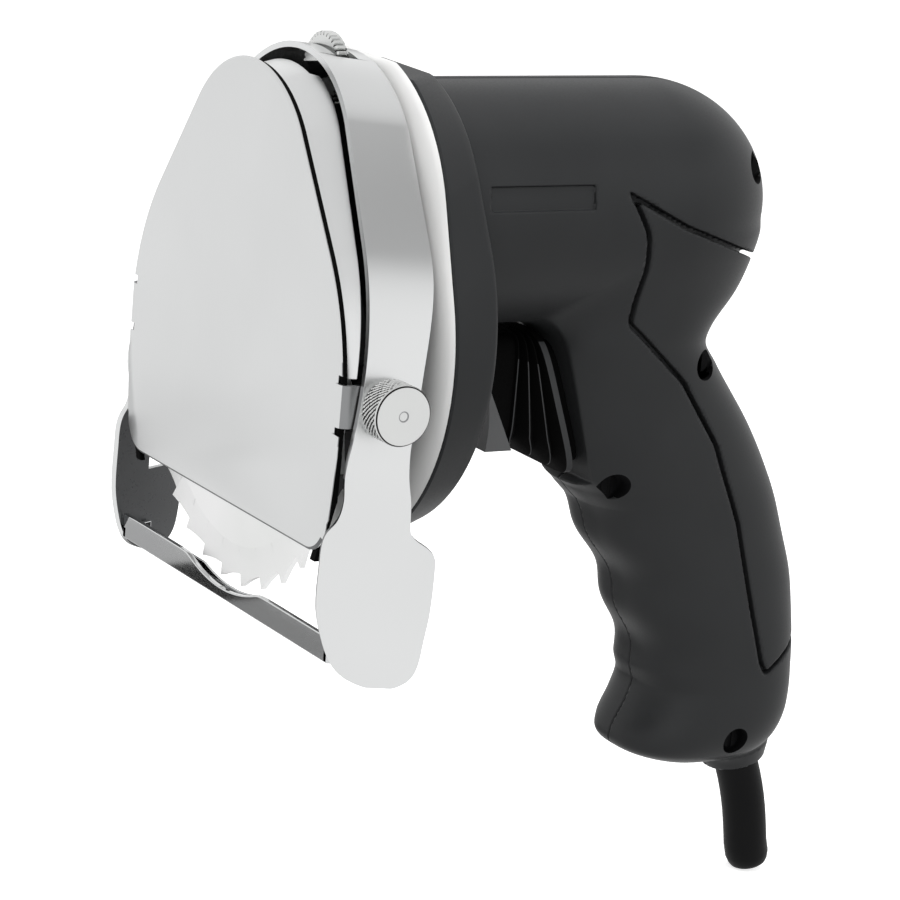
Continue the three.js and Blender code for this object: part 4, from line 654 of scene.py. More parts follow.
@dataclass
class BladeHead:
    """Cover plate, gasket, band and blade."""

    cover_bottom: float = -29.0
    cover_corner: float = 8.0
    cover_sheet: float = 1.2
    tab_length: float = 17.0
    tab_height: float = 10.0
    tab_notch: float = 2.0
    tab_outer: float = 55.1
    tab_bend: float = 2.4
    tab_root: float = 2.6
    tab_sink: float = 0.03
    cover_rim: float = 0.65
    cover_chamfer: float = 0.6
    chamfer_depth: float = 0.4
    gasket_front: float = 0.75
    gasket_back: float = 2.2
    gasket_bottom: float = -31.4
    tail_top: float = -16.0
    tail_lean: float = 6.2
    band_front: float = 2.5
    band_low_back: float = 4.8
    band_bottom: float = 12.6
    band_slant: float = math.radians(7)
    band_flare: float = 1.7
    band_notch_half_width: float = 10.6
    band_flange_front: float = 9.3
    band_flange_back: float = 10.5
    blade_radius: float = 50.0
    blade_teeth: int = 30
    tooth_depth: float = 3.0
    blade_front: float = 4.0
    blade_back: float = 6.0
    blade_bore: float = 6.3
    grind_width: float = 7.0
    grind_depth: float = 0.6

    def cover_outline(self) -> list[Flat]:
        """Cover outline with a notch above and below each tab."""
        low = PIVOT_Z - self.tab_height / 2
        high = PIVOT_Z + self.tab_height / 2
        half = ARCH.half(0.0, self.cover_bottom, self.cover_bottom)
        side = ARCH.side_radius - ARCH.side_shift
        inner = side - self.tab_notch
        # The side leans in by this much over the notch and over the corner
        lean = 0.3
        notch = [
            (side, low - self.tab_notch),
            (inner, low - self.tab_notch),
            (inner, high + self.tab_notch),
            (side - lean, high + self.tab_notch),
        ]
        overlap = 1.0
        straight = self.cover_bottom + self.cover_corner - overlap
        below = [point for point in half if straight < point[1] < low - self.tab_notch]
        above = [point for point in half if point[1] > high + self.tab_notch]
        foot = half[0][0] + lean
        corner = arc(
            (foot - self.cover_corner, self.cover_bottom + self.cover_corner),
            self.cover_corner, -math.pi / 2, 0.0, 12,
        )
        right = corner + below + notch + above
        return right + [(-y, z) for y, z in reversed(right[:-1])]

    def tab(self, side: int) -> list[Ring]:
        """Tab folded back from the cover's edge.

        Args:
            side: 1 for the +Y side, -1 for the -Y side.

        Returns:
            Rings of the folded strip along its path.
        """
        low = PIVOT_Z - self.tab_height / 2
        high = PIVOT_Z + self.tab_height / 2
        bend_y = self.tab_outer - self.tab_bend
        steps = 8
        outer = [(self.tab_sink, bend_y - self.tab_root)]
        inner = [(self.cover_sheet - self.tab_sink, bend_y - self.tab_root)]
        for turn in [-math.pi / 2 + math.pi / 2 * i / steps for i in range(steps + 1)]:
            for path, radius in ((outer, self.tab_bend), (inner, self.tab_bend - self.cover_sheet)):
                path.append((self.tab_bend + radius * math.sin(turn), bend_y + radius * math.cos(turn)))
        outer.append((self.tab_length, self.tab_outer))
        inner.append((self.tab_length, self.tab_outer - self.cover_sheet))
        return [
            [
                (outside[0], side * outside[1], low),
                (outside[0], side * outside[1], high),
                (inside[0], side * inside[1], high),
                (inside[0], side * inside[1], low),
            ]
            for outside, inside in zip(outer, inner)
        ]

    def build_cover(self) -> None:
        """Builds the cover with its two tabs."""
        outline = self.cover_outline()
        middle = sum(z for _, z in outline) / len(outline)
        reach = max(abs(z - middle) for _, z in outline)
        face = [(y * (1 - self.cover_chamfer / reach), z - self.cover_chamfer * (z - middle) / reach)
                for y, z in outline]
        profile = ((0.0, face), (self.chamfer_depth, outline), (self.cover_rim, outline))
        blank = Blank().skin([[(x, y, z) for y, z in points] for x, points in profile])
        for side in (1, -1):
            blank.skin(self.tab(side))
        cover = blank.piece("cover_sheet", COVER_STEEL)
        self.paint_bend_shade(cover)
        round_edges(cover, width_mm=0.12)
        settle(cover, COVER_STEEL, "body", "blade_cover")

    def paint_bend_shade(self, cover: bpy.types.Object) -> None:
        """Paints shade on the folded tabs and on the chamfer of the lower edge, in two darker steels."""
        slack, margin = 0.05, 2.0
        tab_side = self.tab_outer - self.tab_bend - margin
        edge_top = self.cover_bottom + self.cover_corner / 2
        tabs, edges = [], []
        for face in cover.data.polygons:
            x, y, z = (c / MM for c in face.center)
            beside_tab = abs(z - PIVOT_Z) < self.tab_height
            if beside_tab and x > self.chamfer_depth + slack and abs(y) > tab_side:
                tabs.append(face.index)
            elif slack < x < self.chamfer_depth - slack and z < edge_top:
                edges.append(face.index)
        # Painted shade: mid-grey steel on the tabs, darker steel on the lower chamfer
        touch_up(cover, MID_SHADE_STEEL, tabs)
        touch_up(cover, DARK_SHADE_STEEL, edges)

    def build_gasket(self) -> None:
        """Builds the rubber edge behind the cover, with tails that lean in below it."""
        outer, width = -0.5, 2.4
        tail_inset, overlap = 0.4, 0.5
        back = self.gasket_back
        edge = ARCH.ribbon(outer, outer - width, self.tail_top, self.gasket_front, lambda y, z: back)
        blank = Blank().skin(edge)
        start = ARCH.side_radius - ARCH.side_shift + outer - tail_inset
        for side in (1, -1):
            tail = [
                (side * start, self.tail_top + overlap),
                (side * (start - width), self.tail_top + overlap),
                (side * (start - width - self.tail_lean), self.gasket_bottom),
                (side * (start - self.tail_lean), self.gasket_bottom),
            ]
            blank.slab(tail, self.gasket_front, back)
        gasket = blank.piece("rubber_edge", SEAL_RUBBER, edge_mm=0.25)
        settle(gasket, SEAL_RUBBER, "body", "cover_gasket")

    def band_back_at(self, y: float, z: float) -> float:
        """Back edge of the band, parallel to the strap and notched for the wheel."""
        slant = self.band_low_back + (z - self.band_bottom) * math.tan(self.band_slant)
        return min(slant, self.band_flange_back) if abs(y) < self.band_notch_half_width else slant

    def build_band(self) -> None:
        """Builds the polished band round the blade, slightly flared, with a flange at its top."""
        outer, sheet = -2.4, 1.0
        flange_inner, flange_bottom = -21.0, 51.5
        rings = ARCH.ribbon(
            outer, outer - sheet, self.band_bottom, self.band_front, self.band_back_at, self.band_flare
        )
        blank = Blank().skin(rings)
        flange = ARCH.ribbon(
            outer - sheet, flange_inner, flange_bottom, self.band_flange_front,
            lambda y, z: self.band_flange_back,
        )
        blank.skin(flange)
        band = blank.piece("polished_band", BAND_STEEL, edge_mm=0.25)
        settle(band, BAND_STEEL, "body", "blade_band")

    def build_blade(self) -> None:
        """Builds the blade with hooked teeth and a ground edge."""
        steps = 10
        hook, tooth_share = 1.9, 0.98
        root = self.blade_radius - self.tooth_depth
        radii, turns = [], []
        for tooth, step in product(range(self.blade_teeth), range(steps)):
            rise = (step / (steps - 1)) ** hook
            radii.append(root + self.tooth_depth * rise)
            share = tooth_share * step / (steps - 1)
            turns.append(2 * math.pi * (tooth + share) / self.blade_teeth)

        def ring(x: float, radius: Callable[[int], float]) -> Ring:
            """One ring of the blade at a place along X."""
            return [
                (x, radius(i) * math.cos(turn), radius(i) * math.sin(turn)) for i, turn in enumerate(turns)
            ]

        grind = root - self.grind_width
        rings = [
            ring(self.blade_front, lambda i: self.blade_bore),
            ring(self.blade_front, lambda i: grind),
            ring(self.blade_front + self.grind_depth, lambda i: radii[i]),
            ring(self.blade_back, lambda i: radii[i]),
            ring(self.blade_back, lambda i: grind),
            ring(self.blade_back, lambda i: self.blade_bore),
        ]
        blade = Blank().skin(rings, looped=True).piece("toothed_blade", BLADE_STEEL)
        smooth(blade, sharp_degrees=3.0)
        settle(blade, BLADE_STEEL, "blade_group", "blade")

    def build(self) -> None:
        """Builds every piece of the head's front."""
        self.build_cover()
        self.build_gasket()
        self.build_band()
        self.build_blade()


class Curve:
    """Smooth reading of values listed by height."""

    def __init__(self, rows: Sequence[Flat]) -> None:
        """Keeps the rows in rising order.

        Args:
            rows: (height, value) pairs.
        """
        ordered = sorted(rows)
        self.heights = np.array([row[0] for row in ordered], float)
        self.values = np.array([row[1] for row in ordered], float)
        before = np.r_[0, np.arange(len(ordered) - 1)]
        after = np.r_[np.arange(1, len(ordered)), len(ordered) - 1]
        run = self.heights[after] - self.heights[before]
        self.slopes = (self.values[after] - self.values[before]) / run

    def __call__(self, height: np.ndarray | float) -> np.ndarray:
        """Value at a height, held at the ends of the list."""
        held = np.clip(height, self.heights[0], self.heights[-1])
        i = np.clip(np.searchsorted(self.heights, held) - 1, 0, len(self.heights) - 2)
        span = self.heights[i + 1] - self.heights[i]
        t = (held - self.heights[i]) / span
        rise = t * t * (3 - 2 * t)
        return (
            self.values[i] * (1 - rise)
            + self.values[i + 1] * rise
            + span * self.slopes[i] * t * (1 - t) ** 2
            - span * self.slopes[i + 1] * t * t * (1 - t)
        )


@dataclass
class Guard:
    """Guard strap with its shoes, depth bar, side knob and thickness wheel."""

    tilt: float = math.radians(7)
    width: float = 15.1
    setback: float = 0.75
    swell: float = 2.4
    swell_start: float = 5.0
    swell_length: float = 28.0
    rear_limit: float = 27.4
    sheet: float = 1.5
    offset: float = 3.2
    toe_in: float = math.radians(22.9)
    shoe_x: float = 12.5
    shoe_y: float = 59.6
    arch_end: float = 3.1
    leg_start: float = -2.5
    leg_end: float = -58.6
    toe_top: float = -55.0
    slot_front: float = 8.5
    slot_back: float = 14.5
    slot_bottom: float = 66.0
    slot_top: float = 96.0
    shoe_slot_low: Point = (10.0, 53.6, -37.5)
    shoe_slot_high: Point = (15.0, 65.6, -33.5)
    bar_front: float = 2.0
    bar_sheet: float = 1.4
    bar_top: float = -47.6
    bar_height: float = 6.2
    scoop_depth: float = 3.7
    scoop_half_width: float = 19.0
    hem_height: float = 4.6
    ear_length: float = 9.0
    ear_height: float = 3.0
    ear_sheet: float = 1.8
    bar_gap: float = 0.3
    knob_radius: float = 7.2
    knob_length: float = 7.6
    knob_face: float = 57.5
    knurls: int = 36
    knurl_depth: float = 0.5
    groove_shade_depth: float = 0.45
    wheel_radius: float = 9.0
    wheel_front: float = 18.5
    wheel_back: float = 21.5
    wheel_z: float = 74.7
    wheel_notches: int = 36
    wheel_notch_depth: float = 0.7
    wheel_bore: float = 2.3
    wheel_rim: float = 1.6
    wheel_edge: float = 0.35

    def tilted(self, x: float, y: float, z: float) -> Point:
        """A point of the upright strap, turned about the knob's axis."""
        dx = x - PIVOT_X
        dz = z - PIVOT_Z
        return (
            PIVOT_X + dx * math.cos(self.tilt) + dz * math.sin(self.tilt),
            y,
            PIVOT_Z - dx * math.sin(self.tilt) + dz * math.cos(self.tilt),
        )

    def leg_rings(self) -> list[Ring]:
        """The +Y leg from the bottom of its shoe up to the arch."""
        half = self.width / 2 / math.cos(self.tilt)
        top = PIVOT_Z - self.width / 2
        front = Curve([
            (-58.9, -0.2), (-58.4, -3.4), (-56.4, -7.9), (-53, -11.2), (-47, -13.8), (-40, -15.4),
            (-29, -15.4), (-25, -15.2), (-22.4, -14.4), (-19.5, -12.3), (-15, -11), (-8, -9.2),
            (top, self.setback - half),
        ])
        rear = Curve([
            (-58.9, 1.4), (-58.4, 4.2), (-56.4, 7.4), (-53, 9.1), (-47, 10), (-40, 10.9), (-29, 11.2),
            (-26.6, 10.8), (-25, 9.4), (-22.4, 5.6), (-19.5, 4.6), (-15, 4.5), (-8, 6),
            (top, self.setback + half),
        ])
        turn = Curve([(-60, 1), (-40, 1), (-22, 1), (-15, 1), (-8, 0.5), (top, 0), (2, 0)])
        middle = ARCH.side_radius - ARCH.side_shift + self.offset - self.sheet / 2
        toe_rows, leg_rows = 10, 70
        levels = [between(self.leg_end, self.toe_top, (i / toe_rows) ** 2) for i in range(toe_rows)]
        levels += [between(self.toe_top, self.leg_start, i / leg_rows) for i in range(leg_rows + 1)]
        rings = []
        for z in levels:
            share = float(turn(z))
            toe = self.toe_in * share
            x = between(PIVOT_X + (z - PIVOT_Z) * math.tan(self.tilt), self.shoe_x, share)
            y = between(middle, self.shoe_y, share)
            ring = []
            for along, across in ((front, -1), (rear, -1), (rear, 1), (front, 1)):
                reach = float(along(z))
                out = across * self.sheet / 2
                ring.append((
                    x + reach * math.cos(toe) - out * math.sin(toe),
                    y + reach * math.sin(toe) + out * math.cos(toe),
                    z,
                ))
            rings.append(ring)
        return rings

    def arch_rear(self, z: float) -> float:
        """Rear edge of the upright arch, which swells above the knob and stops short of the housing."""
        dz = z - PIVOT_Z
        share = min(max((dz - self.swell_start) / self.swell_length, 0.0), 1.0)
        swollen = self.setback + self.width / 2 + self.swell * share * share * (3 - 2 * share)
        limit = (self.rear_limit - PIVOT_X - dz * math.sin(self.tilt)) / math.cos(self.tilt)
        return PIVOT_X + min(swollen, limit)

    def build_strap(self) -> None:
        """Builds the strap with a slot for the wheel and a small slot in one shoe."""
        outer = ARCH.half(self.offset, self.arch_end, ARCH.foot)
        inner = ARCH.half(self.offset - self.sheet, self.arch_end, ARCH.foot)
        front = PIVOT_X + self.setback - self.width / 2
        rings = self.leg_rings()
        bright_rows = 10
        legs = len(rings) - bright_rows
        for outside, inside in zip(outer, inner):
            rear = self.arch_rear(outside[1])
            corners = ((front, inside), (rear, inside), (rear, outside), (front, outside))
            rings.append([self.tilted(x, y, z) for x, (y, z) in corners])
        rings += [[(x, -y, z) for x, y, z in ring] for ring in reversed(rings[:-1])]
        strap = Blank().skin(rings).piece("guard_strip", STRAP_STEEL)
        # Painted shade: the inner face, and the front and rear edges of the -Y leg, take the darker steel
        dark = [4 * row for row in range(len(rings) - 1)]
        for row in range(len(rings) - 1 - legs, len(rings) - 1):
            dark += [4 * row + 1, 4 * row + 3]
        touch_up(strap, DARK_SHADE_STEEL, dark)
        window = oblong((self.slot_front, self.slot_bottom), (self.slot_back, self.slot_top))
        sides = (-self.wheel_radius, self.wheel_radius)
        slot = Blank().skin([[self.tilted(x, y, z) for x, z in window] for y in sides])
        low, high = self.shoe_slot_low, self.shoe_slot_high
        shoe_slot = Blank().slab(oblong(low[1:], high[1:]), low[0], high[0])
        carve(strap, slot.piece("wheel_slot", STRAP_STEEL), shoe_slot.piece("shoe_slot", STRAP_STEEL))
        smooth(strap)
        round_edges(strap, width_mm=0.35)
        settle(strap, STRAP_STEEL, "guard", "guard_strap")

    def shoe_inner(self, x: float) -> float:
        """Inner face of the +Y shoe at a place along X."""
        middle = self.shoe_y + (x - self.shoe_x) * math.tan(self.toe_in)
        return middle - self.sheet / 2 / math.cos(self.toe_in)

    def scoop_top(self, y: float) -> float:
        """Top edge of the bar, with a round scoop below the blade that runs out softly."""
        arch = self.scoop_depth * (1 - (y / self.scoop_half_width) ** 2)
        soft = 0.5
        drop = (arch + math.hypot(arch, soft)) / 2
        return self.bar_top - min(drop, self.scoop_depth)

    def build_bar(self) -> None:
        """Builds the folded depth bar with an ear along each shoe."""
        end = self.shoe_inner(self.bar_front) - self.bar_gap
        bottom = self.bar_top - self.bar_height
        hem_front = self.bar_front + 2 * self.bar_sheet
        hem_back = hem_front + self.bar_sheet / 2
        inside = self.bar_front + self.bar_sheet
        rings = []
        steps = 120
        for i in range(steps + 1):
            y = between(-end, end, i / steps)
            top = self.scoop_top(y)
            hem_top = min(bottom + self.hem_height, top)
            profile = [
                (self.bar_front, top), (self.bar_front, bottom), (hem_back, bottom), (hem_back, hem_top),
                (hem_front, hem_top), (hem_front, bottom + self.bar_sheet), (inside, bottom + self.bar_sheet),
                (inside, top),
            ]
            rings.append([(x, y, z) for x, z in profile])
        blank = Blank().skin(rings)
        ends = (self.bar_front, self.bar_front + self.ear_length)
        for side in (1, -1):
            corners = [(x, side * (self.shoe_inner(x) - self.bar_gap - self.ear_sheet)) for x in ends]
            corners += [(x, side * (self.shoe_inner(x) - self.bar_gap)) for x in reversed(ends)]
            blank.skin([[(x, y, z) for x, y in corners] for z in (bottom, bottom + self.ear_height)])
        bar = blank.piece("folded_bar", BAR_STEEL, edge_mm=0.3)
        settle(bar, BAR_STEEL, "guard", "depth_bar")

    def build_knob(self) -> None:
        """Builds the knob with a slanting knurl round its rim and a dimple in its face."""
        steps = 280
        rows = 48
        rim_from = 0.7
        rim_to = self.knob_length - 1.1
        twist = self.knurls / self.knob_radius
        lead_share, back_share = 0.85, 0.15
        profile = [(0.0, 4.0, 0.0), (0.0, 6.2, 0.0), (0.5, 6.8, 0.2)]
        first_row = len(profile)
        for i in range(rows + 1):
            profile.append((between(rim_from, rim_to, i / rows), self.knob_radius, 1.0))
        profile += [
            (self.knob_length - 0.8, self.knob_radius, 0.0), (self.knob_length - 0.4, 7.05, 0.0),
            (self.knob_length - 0.12, 6.75, 0.0), (self.knob_length, 6.3, 0.0), (self.knob_length, 1.3, 0.0),
            (self.knob_length - 0.2, 1.0, 0.0), (self.knob_length - 0.32, 0.6, 0.0),
            (self.knob_length - 0.36, 0.1, 0.0),
        ]

        def relief(along: float, turn: float) -> float:
            """Depth of the knurl from 0 to 1, with a faint second one across it."""
            lead = 0.5 - 0.5 * math.cos(self.knurls * turn + twist * along)
            back = 0.5 - 0.5 * math.cos(self.knurls * turn - twist * along)
            return lead_share * lead + back_share * back

        rings = []
        for along, radius, share in profile:
            ring = []
            for i in range(steps):
                turn = 2 * math.pi * i / steps
                reach = radius - share * self.knurl_depth * relief(along, turn)
                ring.append((
                    PIVOT_X + reach * math.cos(turn),
                    -self.knob_face - along,
                    PIVOT_Z + reach * math.sin(turn),
                ))
            rings.append(ring)
        knob = Blank().skin(rings).piece("knurled_knob", KNOB_METAL)
        # Painted shade: faces deep in the knurl, and the ring at the face's edge, take the near-black finish
        grooves = []
        for row in range(first_row, first_row + rows):
            along = (profile[row][0] + profile[row + 1][0]) / 2
            for i in range(steps):
                if relief(along, 2 * math.pi * (i + 0.5) / steps) > self.groove_shade_depth:
                    grooves.append(row * steps + i)
        face_edge = first_row + rows + 2
        grooves += [face_edge * steps + i for i in range(steps)]
        touch_up(knob, GROOVE_SHADE_STEEL, grooves)
        # Painted shade: the dimple's sloping ring takes the mid-grey steel
        dimple = first_row + rows + 5
        touch_up(knob, MID_SHADE_STEEL, [dimple * steps + i for i in range(steps)])
        settle(knob, KNOB_METAL, "knob", "side_knob")

    def build_wheel(self) -> None:
        """Builds the wheel with straight notches round its rim."""
        steps = 8
        squareness = 0.6
        count = self.wheel_notches * steps

        def ring(x: float, radius: float, depth: float) -> Ring:
            """One ring at a place along X, with notches of a depth."""
            points = []
            for i in range(count):
                turn = 2 * math.pi * i / count
                notch = max(0.0, math.cos(self.wheel_notches * turn)) ** squareness
                reach = radius - depth * notch
                points.append((x, reach * math.cos(turn), self.wheel_z + reach * math.sin(turn)))
            return points

        depth = self.wheel_notch_depth
        edge = self.wheel_edge
        rings = [
            ring(self.wheel_front, self.wheel_bore, 0.0),
            ring(self.wheel_front, self.wheel_radius - self.wheel_rim, 0.0),
            ring(self.wheel_front, self.wheel_radius - edge, depth),
            ring(self.wheel_front + edge, self.wheel_radius, depth),
            ring(self.wheel_back - edge, self.wheel_radius, depth),
            ring(self.wheel_back, self.wheel_radius - edge, depth),
            ring(self.wheel_back, self.wheel_radius - self.wheel_rim, 0.0),
            ring(self.wheel_back, self.wheel_bore, 0.0),
        ]
        wheel = Blank().skin(rings, looped=True).piece("notched_wheel", KNOB_METAL)
        # Painted shade: the faces at the bottom of the notches take the near-black finish
        rim_rows = (2, 3, 4)
        notches = [row * count + i for row in rim_rows for i in range(count) if (i + 1) % steps < 2]
        touch_up(wheel, GROOVE_SHADE_STEEL, notches)
        settle(wheel, KNOB_METAL, "wheel", "thickness_wheel")

    def build(self) -> None:
        """Builds every piece of the guard."""
        self.build_strap()
        self.build_bar()
        self.build_knob()
        self.build_wheel()


@dataclass
class GearCase:
    """Pale gear housing plate and black flange behind it."""

    housing_front: float = 28.0
    flange_front: float = 31.3
    flange_back: float = 42.6
    low_radius: float = 52.0
    low_z: float = 12.0
    top_radius: float = 44.0
    top_z: float = 37.0
    rear_low_radius: float = 51.5
    rear_low_z: float = 16.0
    rear_top_radius: float = 42.0
    rear_top_z: float = 35.0
    housing_thickness: float = 3.0
    housing_inset: float = 0.4
    housing_rounding: float = 6.6
    housing_flat_top: float = 78.7
    flange_flat_top: float = 75.6
    rounding: float = 1.4

    def build_housing(self) -> None:
        """Builds the housing plate with a well rounded front edge."""
        rings = []
        steps = 7
        flat_lean = 0.3
        for i in range(steps):
            turn = math.pi / 2 * i / (steps - 1)
            x = self.housing_thickness * (1 - math.cos(turn))
            inset = self.housing_inset + self.housing_rounding * (1 - math.sin(turn))
            outline = two_circles(self.low_radius - inset, self.low_z, self.top_radius - inset, self.top_z)
            top = self.housing_flat_top - flat_lean * inset
            rings.append([(self.housing_front + x, y, min(z, top)) for y, z in outline])
        housing = Blank().skin(rings).piece("housing_plate", CASE_ENAMEL)
        smooth(housing, sharp_degrees=40.0)
        settle(housing, CASE_ENAMEL, "body", "gear_housing")

    def flange_ring(self, x: float, inset: float) -> Ring:
        """Outline of the flange at a place along X."""
        share = (x - self.flange_front) / (self.flange_back - self.flange_front)
        outline = two_circles(
            between(self.low_radius, self.rear_low_radius, share) - inset,
            between(self.low_z, self.rear_low_z, share),
            between(self.top_radius, self.rear_top_radius, share) - inset,
            between(self.top_z, self.rear_top_z, share),
        )
        return [(x, y, min(z, self.flange_flat_top - inset)) for y, z in outline]

    def build_flange(self) -> None:
        """Builds the flange with a rounded rear edge."""
        edge = 0.5
        side_rows, bend_rows = 6, 5
        rings = [self.flange_ring(self.flange_front, edge), self.flange_ring(self.flange_front + edge, 0.0)]
        start = self.flange_back - self.rounding
        for i in range(1, side_rows + 1):
            rings.append(self.flange_ring(between(self.flange_front + edge, start, i / side_rows), 0.0))
        for i in range(1, bend_rows + 1):
            turn = math.pi / 2 * i / bend_rows
            rings.append(self.flange_ring(
                start + self.rounding * math.sin(turn), self.rounding * (1 - math.cos(turn))
            ))
        flange = Blank().skin(rings).piece("moulded_flange", FLANGE_NYLON)
        settle(flange, FLANGE_NYLON, "body", "front_flange")

    def build(self) -> None:
        """Builds housing and flange."""
        self.build_housing()
        self.build_flange()


def smooth_min(a: np.ndarray, b: np.ndarray, width: float) -> np.ndarray:
    """Union of two forms, filleted over a width."""
    share = np.maximum(width - np.abs(a - b), 0.0) / width
    return np.minimum(a, b) - share * share * width / 4


def smooth_max(a: np.ndarray, b: np.ndarray, width: float) -> np.ndarray:
    """Overlap of two forms, rounded over a width."""
    return -smooth_min(-a, -b, width)


def outline_distance(points: Sequence[Flat], x: np.ndarray, z: np.ndarray) -> np.ndarray:
    """Distance to a closed outline, negative inside.

    Args:
        points: corners of the outline.
        x: places along the first axis.
        z: places along the second axis.

    Returns:
        The distances.
    """
    nearest = np.full(np.broadcast(x, z).shape, np.inf)
    sign = np.ones(nearest.shape)
    for (x0, z0), (x1, z1) in zip(points, [points[-1], *points[:-1]]):
        ex, ez = x1 - x0, z1 - z0
        wx, wz = x - x0, z - z0
        share = np.clip((wx * ex + wz * ez) / (ex * ex + ez * ez), 0.0, 1.0)
        nearest = np.minimum(nearest, (wx - ex * share) ** 2 + (wz - ez * share) ** 2)
        above, below, left = z >= z0, z < z1, ex * wz > ez * wx
        crossed = (above & below & left) | (~above & ~below & ~left)
        sign = np.where(crossed, -sign, sign)
    return sign * np.sqrt(nearest)


def rounded_outline(points: Sequence[Flat], cut: float, passes: int = 3) -> list[Flat]:
    """A closed outline with its corners rounded off.

    Args:
        points: corners of the outline.
        cut: most length taken off each side of a corner in the first pass.
        passes: number of passes, each with a smaller cut.

    Returns:
        The rounded outline.
    """
    most_share, shrink = 0.25, 0.6
    work = [np.array(point, float) for point in points]
    for _ in range(passes):
        after = []
        for i, corner in enumerate(work):
            for other in (work[i - 1], work[(i + 1) % len(work)]):
                reach = np.linalg.norm(other - corner)
                after.append(corner + (other - corner) * min(most_share, cut / reach))
        work = after
        cut *= shrink
    return [(float(x), float(z)) for x, z in work]


def gradient(shape: Field, points: np.ndarray) -> np.ndarray:
    """Steepest rise of a form.

    Args:
        shape: form.
        points: rows of places.

    Returns:
        Rows of slopes along X, Y and Z.
    """
    reach = 0.05
    parts = []
    for move in np.eye(3) * reach:
        parts.append((shape(*(points + move).T) - shape(*(points - move).T)) / (2 * reach))
    return np.stack(parts, 1)


def shade_by(shape: Field, piece: bpy.types.Object) -> None:
    """Lights a piece by the normals of its form, which are smoother than those of its faces."""
    normals = gradient(shape, np.array([vertex.co for vertex in piece.data.vertices]) / MM)
    normals /= np.maximum(np.linalg.norm(normals, axis=1), 1e-9)[:, None]
    piece.data.normals_split_custom_set_from_vertices(normals.tolist())


def surface_of(
    shape: Field, low: Point, high: Point, step: float
) -> tuple[np.ndarray, np.ndarray]:
    """Skins the zero level of a form, with one point in each grid cell that it crosses.

    Args:
        shape: form, negative inside.
        low: lowest corner of the grid.
        high: highest corner of the grid.
        step: grid spacing.

    Returns:
        Points and four-cornered faces.
    """
    axes = [np.arange(a, b + step, step) for a, b in zip(low, high)]
    values = shape(*np.meshgrid(*axes, indexing="ij", sparse=True))
    inside = values < 0
    cells = tuple(n - 1 for n in values.shape)
    corners = list(product((0, 1), repeat=3))

    def shifted(array: np.ndarray, corner: Sequence[int]) -> np.ndarray:
        """The grid seen from one corner of every cell."""
        i, j, k = corner
        return array[i : i + cells[0], j : j + cells[1], k : k + cells[2]]

    count = sum(shifted(inside, corner).astype(np.int8) for corner in corners)
    active = (count > 0) & (count < 8)
    number = np.full(cells, -1)
    number[active] = np.arange(active.sum())
    place = np.argwhere(active)
    total = np.zeros(place.shape)
    hits = np.zeros(len(place))
    for first in corners:
        for axis in range(3):
            if first[axis]:
                continue
            second = tuple(1 if k == axis else first[k] for k in range(3))
            a = shifted(values, first)[active]
            b = shifted(values, second)[active]
            crosses = (a < 0) != (b < 0)
            share = np.where(crosses, a / np.where(crosses, a - b, 1.0), 0.0)
            point = np.array(first, float) + np.eye(3)[axis] * share[:, None]
            total += np.where(crosses[:, None], point, 0.0)
            hits += crosses
    points = np.array(low) + step * (place + total / hits[:, None])

    passes, least_rise, most_move = 3, 0.05, 0.7 * step
    start = points.copy()
    for _ in range(passes):
        rise = gradient(shape, points)
        points = points - (shape(*points.T) / np.maximum((rise * rise).sum(1), least_rise))[:, None] * rise
        points = start + np.clip(points - start, -most_move, most_move)

    faces = []
    for axis in range(3):
        u, v = [k for k in range(3) if k != axis]
        span = [slice(None)] * 3
        span[axis] = slice(0, -1)
        ahead = [slice(None)] * 3
        ahead[axis] = slice(1, None)
        changes = inside[tuple(span)] != inside[tuple(ahead)]
        edges = np.argwhere(changes)
        keep = np.ones(len(edges), bool)
        for k in (u, v):
            keep &= (edges[:, k] > 0) & (edges[:, k] < cells[k])
        edges = edges[keep]
        around = []
        for du, dv in ((-1, -1), (0, -1), (0, 0), (-1, 0)):
            moved = edges.copy()
            moved[:, u] += du
            moved[:, v] += dv
            around.append(number[tuple(moved.T)])
        quad = np.stack(around, 1)
        outward = inside[tuple(edges.T)] == (axis != 1)
        faces.append(np.where(outward[:, None], quad, quad[:, ::-1]))
    return points, np.concatenate(faces)


def shell_piece(
    name: str, shape: Field, low: Point, high: Point, step: float, finish: Finish
) -> bpy.types.Object:
    """Makes a piece from a form.

    Args:
        name: name of the piece.
        shape: form, negative inside.
        low: lowest corner of the space that holds it.
        high: highest corner of that space.
        step: size of its faces.
        finish: its material.

    Returns:
        The object, linked to the scene.
    """
    points, faces = surface_of(shape, low, high, step)
    piece = add_object(name, points.tolist(), faces.tolist(), finish.material())
    piece.data.shade_smooth()
    shade_by(shape, piece)
    return piece


